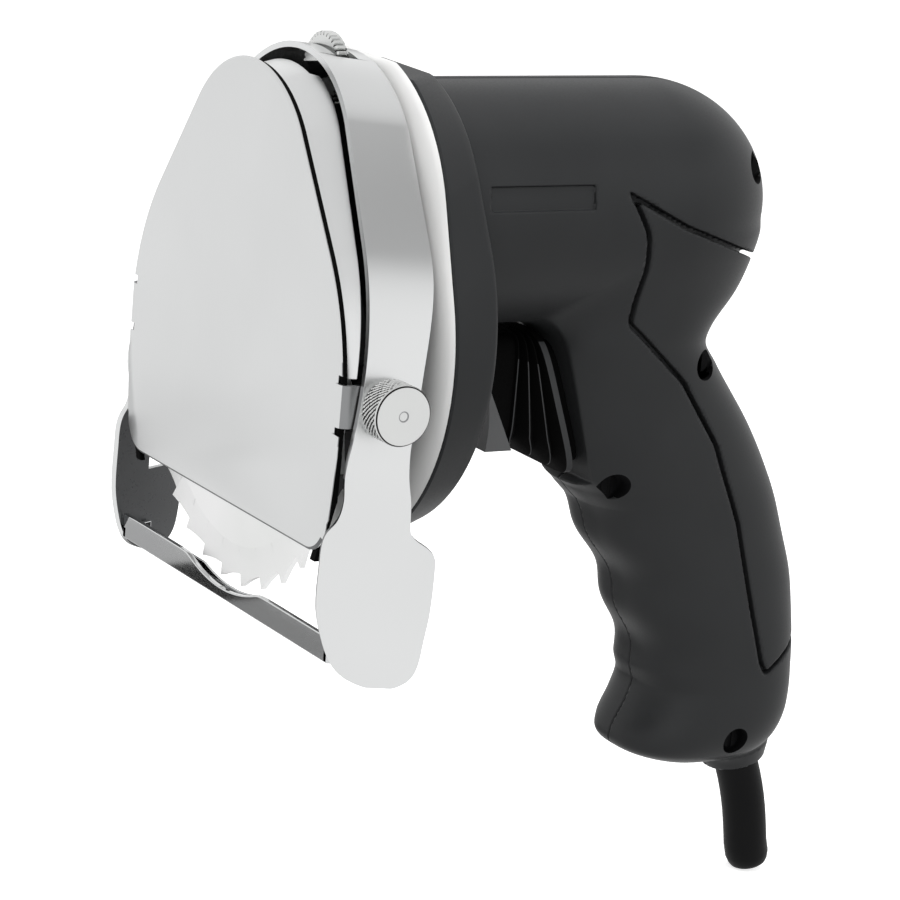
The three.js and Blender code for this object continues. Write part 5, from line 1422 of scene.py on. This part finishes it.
@dataclass
class Handle:
    """Barrel and grip in two shells, with the grip's back panel."""

    barrel_front: float = 42.9
    barrel_radius: float = 30.0
    motor_z: float = 42.5
    dome_start: float = 109.5
    dome_length: float = 33.5
    grip_top: float = 34.0
    grip_bottom: float = -105.5
    roundness: float = 2.6
    groove_top: float = -31.0
    groove_bottom: float = -84.0
    groove_pitch: float = 19.0
    groove_depth: float = 1.0
    groove_run_out: float = 4.0
    fillet: float = 7.0
    foot_rounding: float = 3.0
    top_rounding: float = 1.0
    mouth_rounding: float = 0.5
    front_rounding: float = 0.8
    lip_slope: float = 0.8
    lip: float = 0.5
    panel_gap: float = 1.2
    panel_skin: float = 3.0
    collar_radius: float = 8.2
    collar_length: float = 4.0
    collar_swell: float = 1.6
    label_middle: Flat = (65.3, 48.6)
    label_half: Flat = (14.5, 2.9)
    label_depth: float = 0.9
    bore_radius: float = 3.7
    step: float = 0.75

    def __post_init__(self) -> None:
        """Lays out the grip's side view and the panel's outline."""
        self.front = Curve([
            (34, 92), (14, 80), (-26, 92), (-31, 97.4), (-42, 105.2), (-58, 114.4), (-74, 121.2),
            (-84, 123.8), (-90, 122.2), (-97, 118.8), (-101.5, 119.5), (-105.5, 129),
        ])
        self.back = Curve([
            (34, 137), (22, 136), (9, 129.5), (1.8, 134), (-15, 146.8), (-30, 155.6), (-44, 161.2),
            (-57, 165.3), (-75, 167.6), (-90, 167.8), (-97, 166), (-101.5, 162.5), (-105.5, 155),
        ])
        self.half_width = Curve([
            (34, 24), (14, 23), (0, 21), (-20, 19.6), (-50, 18.6), (-80, 19.2), (-94, 19.4), (-101.5, 17),
            (-105.5, 12),
        ])
        self.panel_outline = rounded_outline([
            (88.9, 50.2), (95.4, 39.0), (97.1, 30.1), (97.0, 15.2), (107.2, 6.6), (116, -0.8), (128.6, -17.6),
            (138.6, -39.2), (150.3, -77.4), (152.6, -80.6), (185, -60), (185, 13.5), (107.3, 41.2),
        ], 0.8)

    def barrel(self, x: Grid, y: Grid, z: Grid) -> Grid:
        """Round barrel with a domed end."""
        reach = np.sqrt(y * y + (z - self.motor_z) ** 2) / self.barrel_radius
        dome = np.maximum(x - self.dome_start, 0.0) / self.dome_length
        return self.barrel_radius * (np.sqrt(reach * reach + dome * dome) - 1)

    def grip(self, x: Grid, y: Grid, z: Grid) -> Grid:
        """Grip of rounded level sections, with finger grooves and a slanting mouth for the trigger."""
        run_out = self.groove_run_out
        window = np.clip((self.groove_top - z) / run_out, 0, 1)
        window = window * np.clip((z - self.groove_bottom) / run_out, 0, 1)
        wave = np.cos(2 * np.pi * (z - self.groove_top + run_out) / self.groove_pitch)
        front = self.front(z) + self.groove_depth * window * wave
        back = self.back(z)
        half_depth = (back - front) / 2
        half_width = self.half_width(z)
        u = np.abs(x - (front + back) / 2) / half_depth
        v = np.abs(y) / half_width
        level = (u**self.roundness + v**self.roundness) ** (1 / self.roundness) - 1
        body = level * np.minimum(half_depth, half_width)
        body = smooth_max(body, self.grip_bottom - z, self.foot_rounding)
        body = smooth_max(body, z - self.grip_top, self.top_rounding)
        mouth = (x - mouth_at(z)) * abs(MOUTH_FALL) / math.hypot(MOUTH_RUN, MOUTH_FALL)
        lip = MOUTH_BOTTOM[1] - self.lip_slope * (MOUTH_BOTTOM[0] - x)
        mouth = np.maximum(mouth, np.maximum(z - MOUTH_TOP[1], lip - z))
        return smooth_max(body, -mouth, self.mouth_rounding)

    def collar(self, x: Grid, y: Grid, z: Grid) -> Grid:
        """Collar that holds the cord boot at the grip's foot."""
        dx, dz = x - BOOT_TOP[0], z - BOOT_TOP[1]
        down = dx * math.sin(BOOT_LEAN) - dz * math.cos(BOOT_LEAN)
        side = dx * math.cos(BOOT_LEAN) + dz * math.sin(BOOT_LEAN)
        radius = self.collar_radius + self.collar_swell * np.clip(1 - down / self.collar_length, 0, 1)
        return np.maximum(np.sqrt(side * side + y * y) - radius, np.abs(down) - self.collar_length)

    def outside(self, x: Grid, y: Grid, z: Grid) -> Grid:
        """The whole handle."""
        form = smooth_min(self.barrel(x, y, z), self.grip(x, y, z), self.fillet)
        form = smooth_min(form, self.collar(x, y, z), self.foot_rounding)
        return smooth_max(form, self.barrel_front - x, self.front_rounding)

    def label(self, x: Grid, y: Grid, z: Grid) -> Grid:
        """Shallow bare recess on the -Y side of the barrel."""
        across = np.maximum(np.abs(x - self.label_middle[0]) - self.label_half[0],
                            np.abs(z - self.label_middle[1]) - self.label_half[1])
        floor = self.barrel_radius - self.label_depth - np.sqrt(y * y + (z - self.motor_z) ** 2)
        return np.maximum(across, np.maximum(floor, y))

    def sink_wells(
        self, piece: bpy.types.Object, form: Field, screws: Sequence[str], solver: str = "EXACT"
    ) -> None:
        """Drills the sunk holes above the screws' heads, and paints their walls near-black as painted shade.

        Args:
            piece: shell or panel.
            form: its form before drilling.
            screws: solids of the screws.
            solver: way of cutting, as for carve.
        """
        steps = 48
        start = -self.barrel_radius - 4.0
        overlap, slack, depth = 0.2, 0.02, 0.3
        drills, middles = [], []
        for screw in screws:
            low, high = (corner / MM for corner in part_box(screw))
            middle = ((low[0] + high[0]) / 2, (low[2] + high[2]) / 2)
            circle = arc(middle, self.bore_radius, 0.0, 2 * math.pi, steps)[:-1]
            drill = Blank().block(circle, start, low[1] + overlap)
            drills.append(drill.piece(f"{screw}_drill", NEAR_BLACK_SHADE_STEEL))
            middles.append(middle)
        carve(piece, *drills, solver=solver)
        # Painted shade: faces of the well walls, sunk below the outside, take the near-black steel
        x, y, z = np.array([face.center for face in piece.data.polygons]).T / MM
        near = np.minimum.reduce([np.hypot(x - x0, z - z0) for x0, z0 in middles])
        sunk = (near < self.bore_radius + slack) & (self.outside(x, y, z) < -depth) & (y < 0)
        touch_up(piece, NEAR_BLACK_SHADE_STEEL, np.flatnonzero(sunk).tolist())
        shade_by(form, piece)

    def build_shell(self, side: int, name: str, node: str) -> None:
        """Builds one half of the handle.

        Args:
            side: 1 for the +Y half, -1 for the -Y half.
            name: name of the piece.
            node: solid that it stands for.
        """
        seam, seam_rounding, label_rounding = 0.06, 0.25, 0.4

        def form(x: Grid, y: Grid, z: Grid) -> Grid:
            """The half shell with its recesses."""
            whole = self.outside(x, y, z)
            pocket = np.maximum(outline_distance(self.panel_outline, x, z), -self.panel_skin - whole)
            shell = smooth_max(whole, -pocket, self.lip)
            shell = smooth_max(shell, seam - side * y, seam_rounding)
            return smooth_max(shell, -self.label(x, y, z), label_rounding) if side < 0 else shell

        inward, outward = 0.6, 32.0
        near, far = sorted((-inward * side, outward * side))
        low, high = (42.0, near, -118.0), (172.0, far, 74.5)
        piece = shell_piece(name, form, low, high, self.step, HANDLE_NYLON)
        if side < 0:
            self.sink_wells(piece, form, ("shell_screw_1", "shell_screw_2", "shell_screw_3"))
        settle(piece, HANDLE_NYLON, "body", node)

    def build_panel(self) -> None:
        """Builds the grip's back panel, which leaves a groove all round."""
        seat = 0.2

        def form(x: Grid, y: Grid, z: Grid) -> Grid:
            """The panel inside its outline, a skin over the shells."""
            whole = self.outside(x, y, z)
            inside = outline_distance(self.panel_outline, x, z) + self.panel_gap
            panel = smooth_max(whole, inside, self.lip)
            return np.maximum(panel, seat - self.panel_skin - whole)

        low, high = (88.0, -31.0, -83.0), (172.0, 31.0, 50.0)
        piece = shell_piece("back_panel", form, low, high, self.step, HANDLE_NYLON)
        self.sink_wells(piece, form, ("panel_screw",), "FAST")
        settle(piece, HANDLE_NYLON, "body", "grip_back_panel")

    def build(self) -> None:
        """Builds shells and panel."""
        self.build_shell(-1, "shell_right", "handle_shell_right")
        self.build_shell(1, "shell_left", "handle_shell_left")
        self.build_panel()


@dataclass
class TriggerSet:
    """Wedge-shaped trigger button with its rubber bellows and return spring."""

    front: float = 63.0
    back: float = 74.7
    half_width: float = 10.0
    top: float = 11.0
    bottom: float = -18.5
    wedge_top: float = 6.0
    wedge_lean: float = 0.485
    pad_front: float = 65.0
    first_crest: float = 74.4
    crests: tuple[float, ...] = (0.0, 0.36, 0.7)
    fold_depth: float = 2.6
    rim_width: float = 1.7
    rim_setback: float = 3.4
    line_top: float = 5.0
    rim_top: float = 9.0
    bellows_bottom: float = -26.0
    bellows_grow: float = 2.0
    wall: float = 1.0
    stem_half_width: float = 5.5
    stem_length: float = 18.0
    stem_bottom: float = -13.0
    stem_top: float = 3.0
    stem_overlap: float = 2.0
    finger_hollow: float = 2.0
    toe_setback: float = 4.0
    bellows_reach: float = 8.5
    spring_wire: float = 0.35
    spring_turns: int = 3

    def wedge_back(self, z: float) -> float:
        """Slanting line between the button and the bellows' pad."""
        return self.back - self.wedge_lean * (z - self.bottom)

    def build_trigger(self) -> None:
        """Builds the button, hollowed for a finger at its front, and its stem."""
        steps = 12
        toe = self.front + self.toe_setback
        outline = [(self.back, self.bottom), (self.wedge_back(self.wedge_top), self.wedge_top)]
        for i in range(steps + 1):
            share = i / steps
            bend = 4 * self.finger_hollow * share * (1 - share)
            z = between(self.wedge_top, self.bottom, share)
            outline.append((between(self.front, toe, share) + bend, z))
        blank = Blank().block(outline, -self.half_width, self.half_width)
        stem_start, stem_end = self.back - self.stem_overlap, self.back + self.stem_length
        stem = oblong((stem_start, self.stem_bottom), (stem_end, self.stem_top))
        blank.block(stem, -self.stem_half_width, self.stem_half_width)
        trigger = blank.piece("trigger_button", TRIGGER_NYLON)
        round_edges(trigger, width_mm=0.9, segments=3)
        settle(trigger, TRIGGER_NYLON, "trigger_group", "trigger")

    def bellows_ring(self, place: Callable[[float], float], grow: float, inset: float) -> Ring:
        """One rounded section of the bellows.

        Args:
            place: place along X, by height.
            grow: 0 at the button, 1 at the grip's mouth.
            inset: depth below the crests.

        Returns:
            The section's points.
        """
        steps = 64
        squareness = 0.4
        top = self.top - inset
        bottom = between(self.bottom, self.bellows_bottom, grow) + inset
        half_width = self.half_width + self.bellows_grow * grow - inset
        ring = []
        for i in range(steps):
            turn = 2 * math.pi * (i + 0.5) / steps
            up = math.copysign(abs(math.sin(turn)) ** squareness, math.sin(turn))
            out = math.copysign(abs(math.cos(turn)) ** squareness, math.cos(turn))
            z = (top + bottom) / 2 + (top - bottom) / 2 * up
            ring.append((place(z), half_width * out, z))
        return ring

    def build_bellows(self) -> None:
        """Builds the bellows, whose front follows the trigger and whose rear stays on the grip."""
        pad_gap, pad_depth, pad_inset, edge = 0.2, 0.8, 0.8, 0.3

        def rim(z: float) -> float:
            """Front of the grey rim beside the grip's mouth."""
            return mouth_at(z) - self.rim_setback - self.rim_width

        def pad(z: float) -> float:
            """Front of the pad behind the button."""
            return max(self.pad_front, self.wedge_back(z) + pad_gap)

        def crest(share: float, shift: float) -> Callable[[float], float]:
            """Place of a fold between the pad and the rim."""
            return lambda z: between(max(self.first_crest, pad(z) + pad_depth), rim(z), share) + shift

        line, lead = 0.16, 0.5
        sections = [(pad, 0.0, pad_inset), (crest(0.0, -lead), 0.0, pad_inset)]
        # Rows that take the lighter rubber: painted highlight on each crest, and the rim's own grey
        lit_rows = []
        for here, there in zip(self.crests, (*self.crests[1:], 1.0)):
            middle = (here + there) / 2
            sections += [
                (crest(here, -line), here, 0.0), (crest(here, line), here, 0.0),
                (crest(middle, 0.0), middle, self.fold_depth),
            ]
            lit_rows.append(len(sections) - 3)
        lit_rows.append(len(sections))
        sections += [
            (rim, 1.0, 0.0),
            (lambda z: rim(z) + self.rim_width, 1.0, 0.0),
            (lambda z: rim(z) + self.rim_width + edge, 1.0, self.fold_depth),
            (lambda z: rim(z) + self.rim_width + self.rim_setback - edge, 1.0, self.fold_depth),
        ]
        outside = [self.bellows_ring(place, grow, inset) for place, grow, inset in sections]
        inside = [self.bellows_ring(place, grow, inset + self.wall) for place, grow, inset in sections]
        bellows = Blank().skin(outside + inside[::-1], looped=True).piece("rubber_bellows", SEAL_RUBBER)
        count = len(outside[0])
        heights = [z for _, _, z in outside[0]]
        # Lighter rubber below line_top on the crests, as painted highlight that stops where the top lies in
        # shade, and below rim_top on the rim
        highlighted = []
        for row in lit_rows:
            top = self.rim_top if row == lit_rows[-1] else self.line_top
            highlighted += [row * count + i for i in range(count) if heights[i] < top]
        touch_up(bellows, CREST_HIGHLIGHT_RUBBER, highlighted)
        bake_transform(bellows)
        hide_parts("trigger_bellows")
        LOG.info("%s bends between trigger_group and body for trigger_bellows", bellows.name)

    def build_spring(self) -> None:
        """Winds the return spring between the trigger's stem and the switch."""
        low, high = (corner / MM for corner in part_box("trigger_spring"))
        wire = self.spring_wire
        radius = (high[2] - low[2]) / 2 - wire
        middle = (high[2] + low[2]) / 2
        steps, sides = 24 * self.spring_turns, 10
        rings = []
        for i in range(steps + 1):
            turn = 2 * math.pi * self.spring_turns * i / steps
            x = between(low[0] + wire, high[0] - wire, i / steps)
            ring = []
            for along, out in arc((x, radius), wire, 0.0, 2 * math.pi, sides)[:-1]:
                ring.append((along, out * math.cos(turn), middle + out * math.sin(turn)))
            rings.append(ring)
        spring = Blank().skin(rings).piece("return_spring", PLAIN_STEEL)
        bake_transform(spring)
        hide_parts("trigger_spring")
        LOG.info("%s bends between trigger_group and body for trigger_spring", spring.name)

    def build(self) -> None:
        """Builds button, bellows and spring."""
        self.build_trigger()
        self.build_bellows()
        self.build_spring()


@dataclass
class CordBoot:
    """Rubber sleeve at the grip's foot."""

    radius: float = 5.75
    bore: float = 4.0
    length: float = 35.8
    bow: float = 1.2
    straight_end: float = 6.0
    end_rounding: float = 3.0
    end_steps: tuple[Flat, ...] = ((1.2, 0.5), (0.35, 1.0), (0.0, 1.5))
    flange_radius: float = 7.4
    flange: float = 3.0

    def build(self) -> None:
        """Builds the boot as a sleeve on its leaning, slightly bowed axis."""
        steps, rows = 56, 10
        bowed = self.length - self.straight_end
        straight = self.length - self.end_rounding
        profile = [
            (-self.flange, self.bore), (-self.flange, self.flange_radius), (0.0, self.flange_radius),
            *[(between(0.0, straight, i / rows), self.radius) for i in range(rows + 1)],
            *[(self.length - short, self.radius - inset) for short, inset in self.end_steps],
            (self.length, self.bore),
        ]
        rings = []
        for down, radius in profile:
            ring = []
            for i in range(steps):
                turn = 2 * math.pi * i / steps
                bow = self.bow * math.sin(math.pi * min(max(down, 0.0) / bowed, 1.0))
                side = radius * math.cos(turn) + bow
                ring.append((
                    BOOT_TOP[0] + down * math.sin(BOOT_LEAN) + side * math.cos(BOOT_LEAN),
                    radius * math.sin(turn),
                    BOOT_TOP[1] - down * math.cos(BOOT_LEAN) + side * math.sin(BOOT_LEAN),
                ))
            rings.append(ring)
        boot = Blank().skin(rings, looped=True).piece("cord_sleeve", BOOT_RUBBER)
        settle(boot, BOOT_RUBBER, "body", "cord_boot")


class CarriedSolids:
    """Solids that show as they are, dressed in their own finishes."""

    finishes: dict[Finish, tuple[str, ...]] = {
        # Black carrier: painted shade for the gap between band and strap
        CARRIER_SHADE_BLACK: ("blade_carrier",),
        KNOB_METAL: ("pivot_screw",),
        PLAIN_STEEL: (
            "band_screw_1", "band_screw_2", "blade_bolt", "blade_spindle", "front_spindle_bearing",
            "drive_gear", "motor_pinion", "armature_shaft", "armature_core",
            "front_motor_bearing", "rear_motor_bearing", "field_core",
            "head_screw_1", "head_screw_2", "head_screw_3", "head_screw_4",
        ),
        # The wheel's stud and washer take the near-black steel as painted shade inside the strap
        NEAR_BLACK_SHADE_STEEL: (
            "shell_screw_1", "shell_screw_2", "shell_screw_3", "panel_screw", "wheel_stud", "wheel_washer",
        ),
        BUSH_BRASS: ("rear_spindle_bush", "brush_holder_left", "brush_holder_right"),
        COIL_COPPER: ("commutator", "field_coil_front", "field_coil_rear"),
        BRUSH_CARBON: ("brush_left", "brush_right"),
        INNER_NYLON: ("cooling_fan", "rear_motor_bracket", "switch_body", "cord_clamp"),
    }

    def dress(self) -> None:
        """Gives each solid its material."""
        for finish, nodes in self.finishes.items():
            for node in nodes:
                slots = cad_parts[node].data.materials
                slots.clear()
                slots.append(finish.material())
                LOG.info("%s keeps its solid in %s", node, finish.name)


@dataclass(frozen=True)
class Lamp:
    """One soft lamp, aimed at the slicer's middle."""

    name: str
    place: Point
    size: float
    watts: float

    def build(self, aim: Vector) -> None:
        """Places the lamp.

        Args:
            aim: point that it faces, in metres.
        """
        lamp = bpy.data.lights.new(self.name, "AREA")
        lamp.shape = "DISK"
        lamp.size = self.size
        lamp.energy = self.watts
        holder = bpy.data.objects.new(self.name, lamp)
        holder.location = self.place
        holder.visible_glossy = False
        holder.rotation_euler = (aim - holder.location).to_track_quat("-Z", "Y").to_euler()
        bpy.context.scene.collection.objects.link(holder)


@dataclass(frozen=True)
class Card:
    """A grey card that only reflections see, as a photographer shades bright metal."""

    name: str
    place: Point
    width: float
    height: float
    shade: float
    lying: bool = False

    def build(self, aim: Vector) -> None:
        """Places the card.

        Args:
            aim: point that a standing card faces, in metres.
        """
        paint = bpy.data.materials.new(f"{self.name}_grey")
        tree = bare_tree(paint)
        glow = add_node(tree, "ShaderNodeEmission", {"Strength": self.shade})
        add_node(tree, "ShaderNodeOutputMaterial", links={"Surface": glow.outputs[0]})
        across, up = self.width / 2, self.height / 2
        corners = [(x, y, 0.0) for x, y in oblong((-across, -up), (across, up))]
        card = add_object(self.name, corners, [(0, 1, 2, 3)], paint)
        card.location = [c * MM for c in self.place]
        if not self.lying:
            card.rotation_euler = (aim - card.location).to_track_quat("Z", "Y").to_euler()
        card.visible_camera = False
        card.visible_diffuse = False
        card.visible_shadow = False
        card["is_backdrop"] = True


@dataclass
class Studio:
    """Pale floor, soft lamps, shading cards, white surround and the camera."""

    camera_place: Point = (-431.806, -811.148, 217.568)
    camera_right: Point = (0.86146, -0.50058, 0.08546)
    camera_up: Point = (0.05080, 0.25239, 0.96629)
    camera_back: Point = (-0.50528, -0.82808, 0.24285)
    focal_pixels: float = 3973.94
    image_pixels: float = 900.0
    sensor_mm: float = 36.0
    floor_size: float = 6.0
    floor_gap: float = 0.3
    floor_thickness: float = 5.0
    floor_glow: float = 0.72
    ambient: float = 0.35
    lamps: tuple[Lamp, ...] = (
        Lamp("key_lamp", (-0.5, -0.7, 1.2), 0.8, 7.0),
        Lamp("top_lamp", (0.4, 0.1, 1.3), 0.9, 9.0),
        Lamp("side_lamp", (0.9, -0.8, 0.5), 0.7, 2.0),
        Lamp("front_lamp", (-0.55, -1.15, 0.3), 0.8, 4.0),
    )
    cards: tuple[Card, ...] = (
        Card("strap_card", (472.0, -500.0, 690.0), 1400.0, 230.0, 0.28),
        Card("ceiling_card", (0.0, 0.0, 1700.0), 3000.0, 3000.0, 0.82, True),
        Card("bar_pale_card", (-139.0, 322.0, -139.5), 26.0, 56.0, 0.5, True),
        Card("bar_dark_card", (-139.0, 273.0, -139.5), 26.0, 42.0, 0.03, True),
        Card("bar_grey_card", (-139.0, 219.0, -139.5), 26.0, 66.0, 0.28, True),
        Card("edge_card", (60.0, 190.0, -139.5), 140.0, 220.0, 0.3, True),
        Card("lip_card", (503.0, 830.0, 170.0), 600.0, 140.0, 0.04),
    )

    def build_camera(self) -> None:
        """Places the camera at the picture's point of view."""
        lens = bpy.data.cameras.new("camera")
        lens.sensor_width = self.sensor_mm
        lens.lens = self.focal_pixels * self.sensor_mm / self.image_pixels
        lens.clip_end = 20.0
        camera = bpy.data.objects.new("camera", lens)
        place = [c * MM for c in self.camera_place]
        columns = zip(self.camera_right, self.camera_up, self.camera_back, place)
        camera.matrix_world = Matrix([*columns, (0, 0, 0, 1)])
        bpy.context.scene.collection.objects.link(camera)
        bpy.context.scene.camera = camera

    def build_surround(self) -> None:
        """White surround that lights softly."""
        world = bpy.data.worlds.new("white_surround")
        bpy.context.scene.world = world
        tree = bare_tree(world)
        path = add_node(tree, "ShaderNodeLightPath").outputs
        light = add_node(tree, "ShaderNodeBackground", {"Color": linear("#ffffff"), "Strength": self.ambient})
        white = add_node(tree, "ShaderNodeBackground", {"Color": linear("#ffffff"), "Strength": 1.0})
        mirrored = either(tree, path["Is Glossy Ray"], path["Is Transmission Ray"])
        seen = either(tree, path["Is Camera Ray"], mirrored)
        mix = mixed(tree, seen, light, white)
        add_node(tree, "ShaderNodeOutputWorld", links={"Surface": mix.outputs[0]})

    def build_floor(self) -> None:
        """Pale floor below the lowest point, which keeps a soft shadow."""
        paint = bpy.data.materials.new("pale_floor_paint")
        tree = bare_tree(paint)
        matt = add_node(tree, "ShaderNodeBsdfDiffuse", {"Color": linear("#f2f2f2")})
        bounce = add_node(tree, "ShaderNodeBsdfDiffuse", {"Color": linear("#8c8c8c")})
        glow = add_node(tree, "ShaderNodeEmission", {"Color": linear("#ffffff"), "Strength": self.floor_glow})
        white = add_node(tree, "ShaderNodeEmission", {"Color": linear("#ffffff"), "Strength": 1.0})
        both = add_node(tree, "ShaderNodeAddShader")
        tree.links.new(matt.outputs[0], both.inputs[0])
        tree.links.new(glow.outputs[0], both.inputs[1])
        path = add_node(tree, "ShaderNodeLightPath").outputs
        seen = mixed(tree, path["Is Camera Ray"], bounce, both)
        mirrored = either(tree, path["Is Glossy Ray"], path["Is Transmission Ray"])
        mix = mixed(tree, mirrored, seen, white)
        add_node(tree, "ShaderNodeOutputMaterial", links={"Surface": mix.outputs[0]})
        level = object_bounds()[0][2] / MM - self.floor_gap
        half = self.floor_size / 2 / MM
        square = oblong((-half, -half), (half, half))
        heights = (level - self.floor_thickness, level)
        blank = Blank().skin([[(x, y, z) for x, y in square] for z in heights])
        floor = add_object("floor", blank.points, blank.faces, paint)
        floor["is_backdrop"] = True

    def build(self) -> None:
        """Builds camera, surround, floor, lamps and cards."""
        scene = bpy.context.scene
        scene.view_settings.view_transform = "Standard"
        self.build_camera()
        self.build_surround()
        self.build_floor()
        low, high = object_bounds()
        aim = (Vector(low) + Vector(high)) / 2
        for prop in (*self.lamps, *self.cards):
            prop.build(aim)


def main() -> None:
    """Builds the slicer's pieces in order, then the studio."""
    logging.basicConfig(level=logging.INFO, format="%(name)s: %(message)s")
    for assembly in (BladeHead(), Guard(), GearCase(), Handle(), TriggerSet(), CordBoot()):
        assembly.build()
    CarriedSolids().dress()
    Studio().build()


if __name__ == "__main__":
    main()
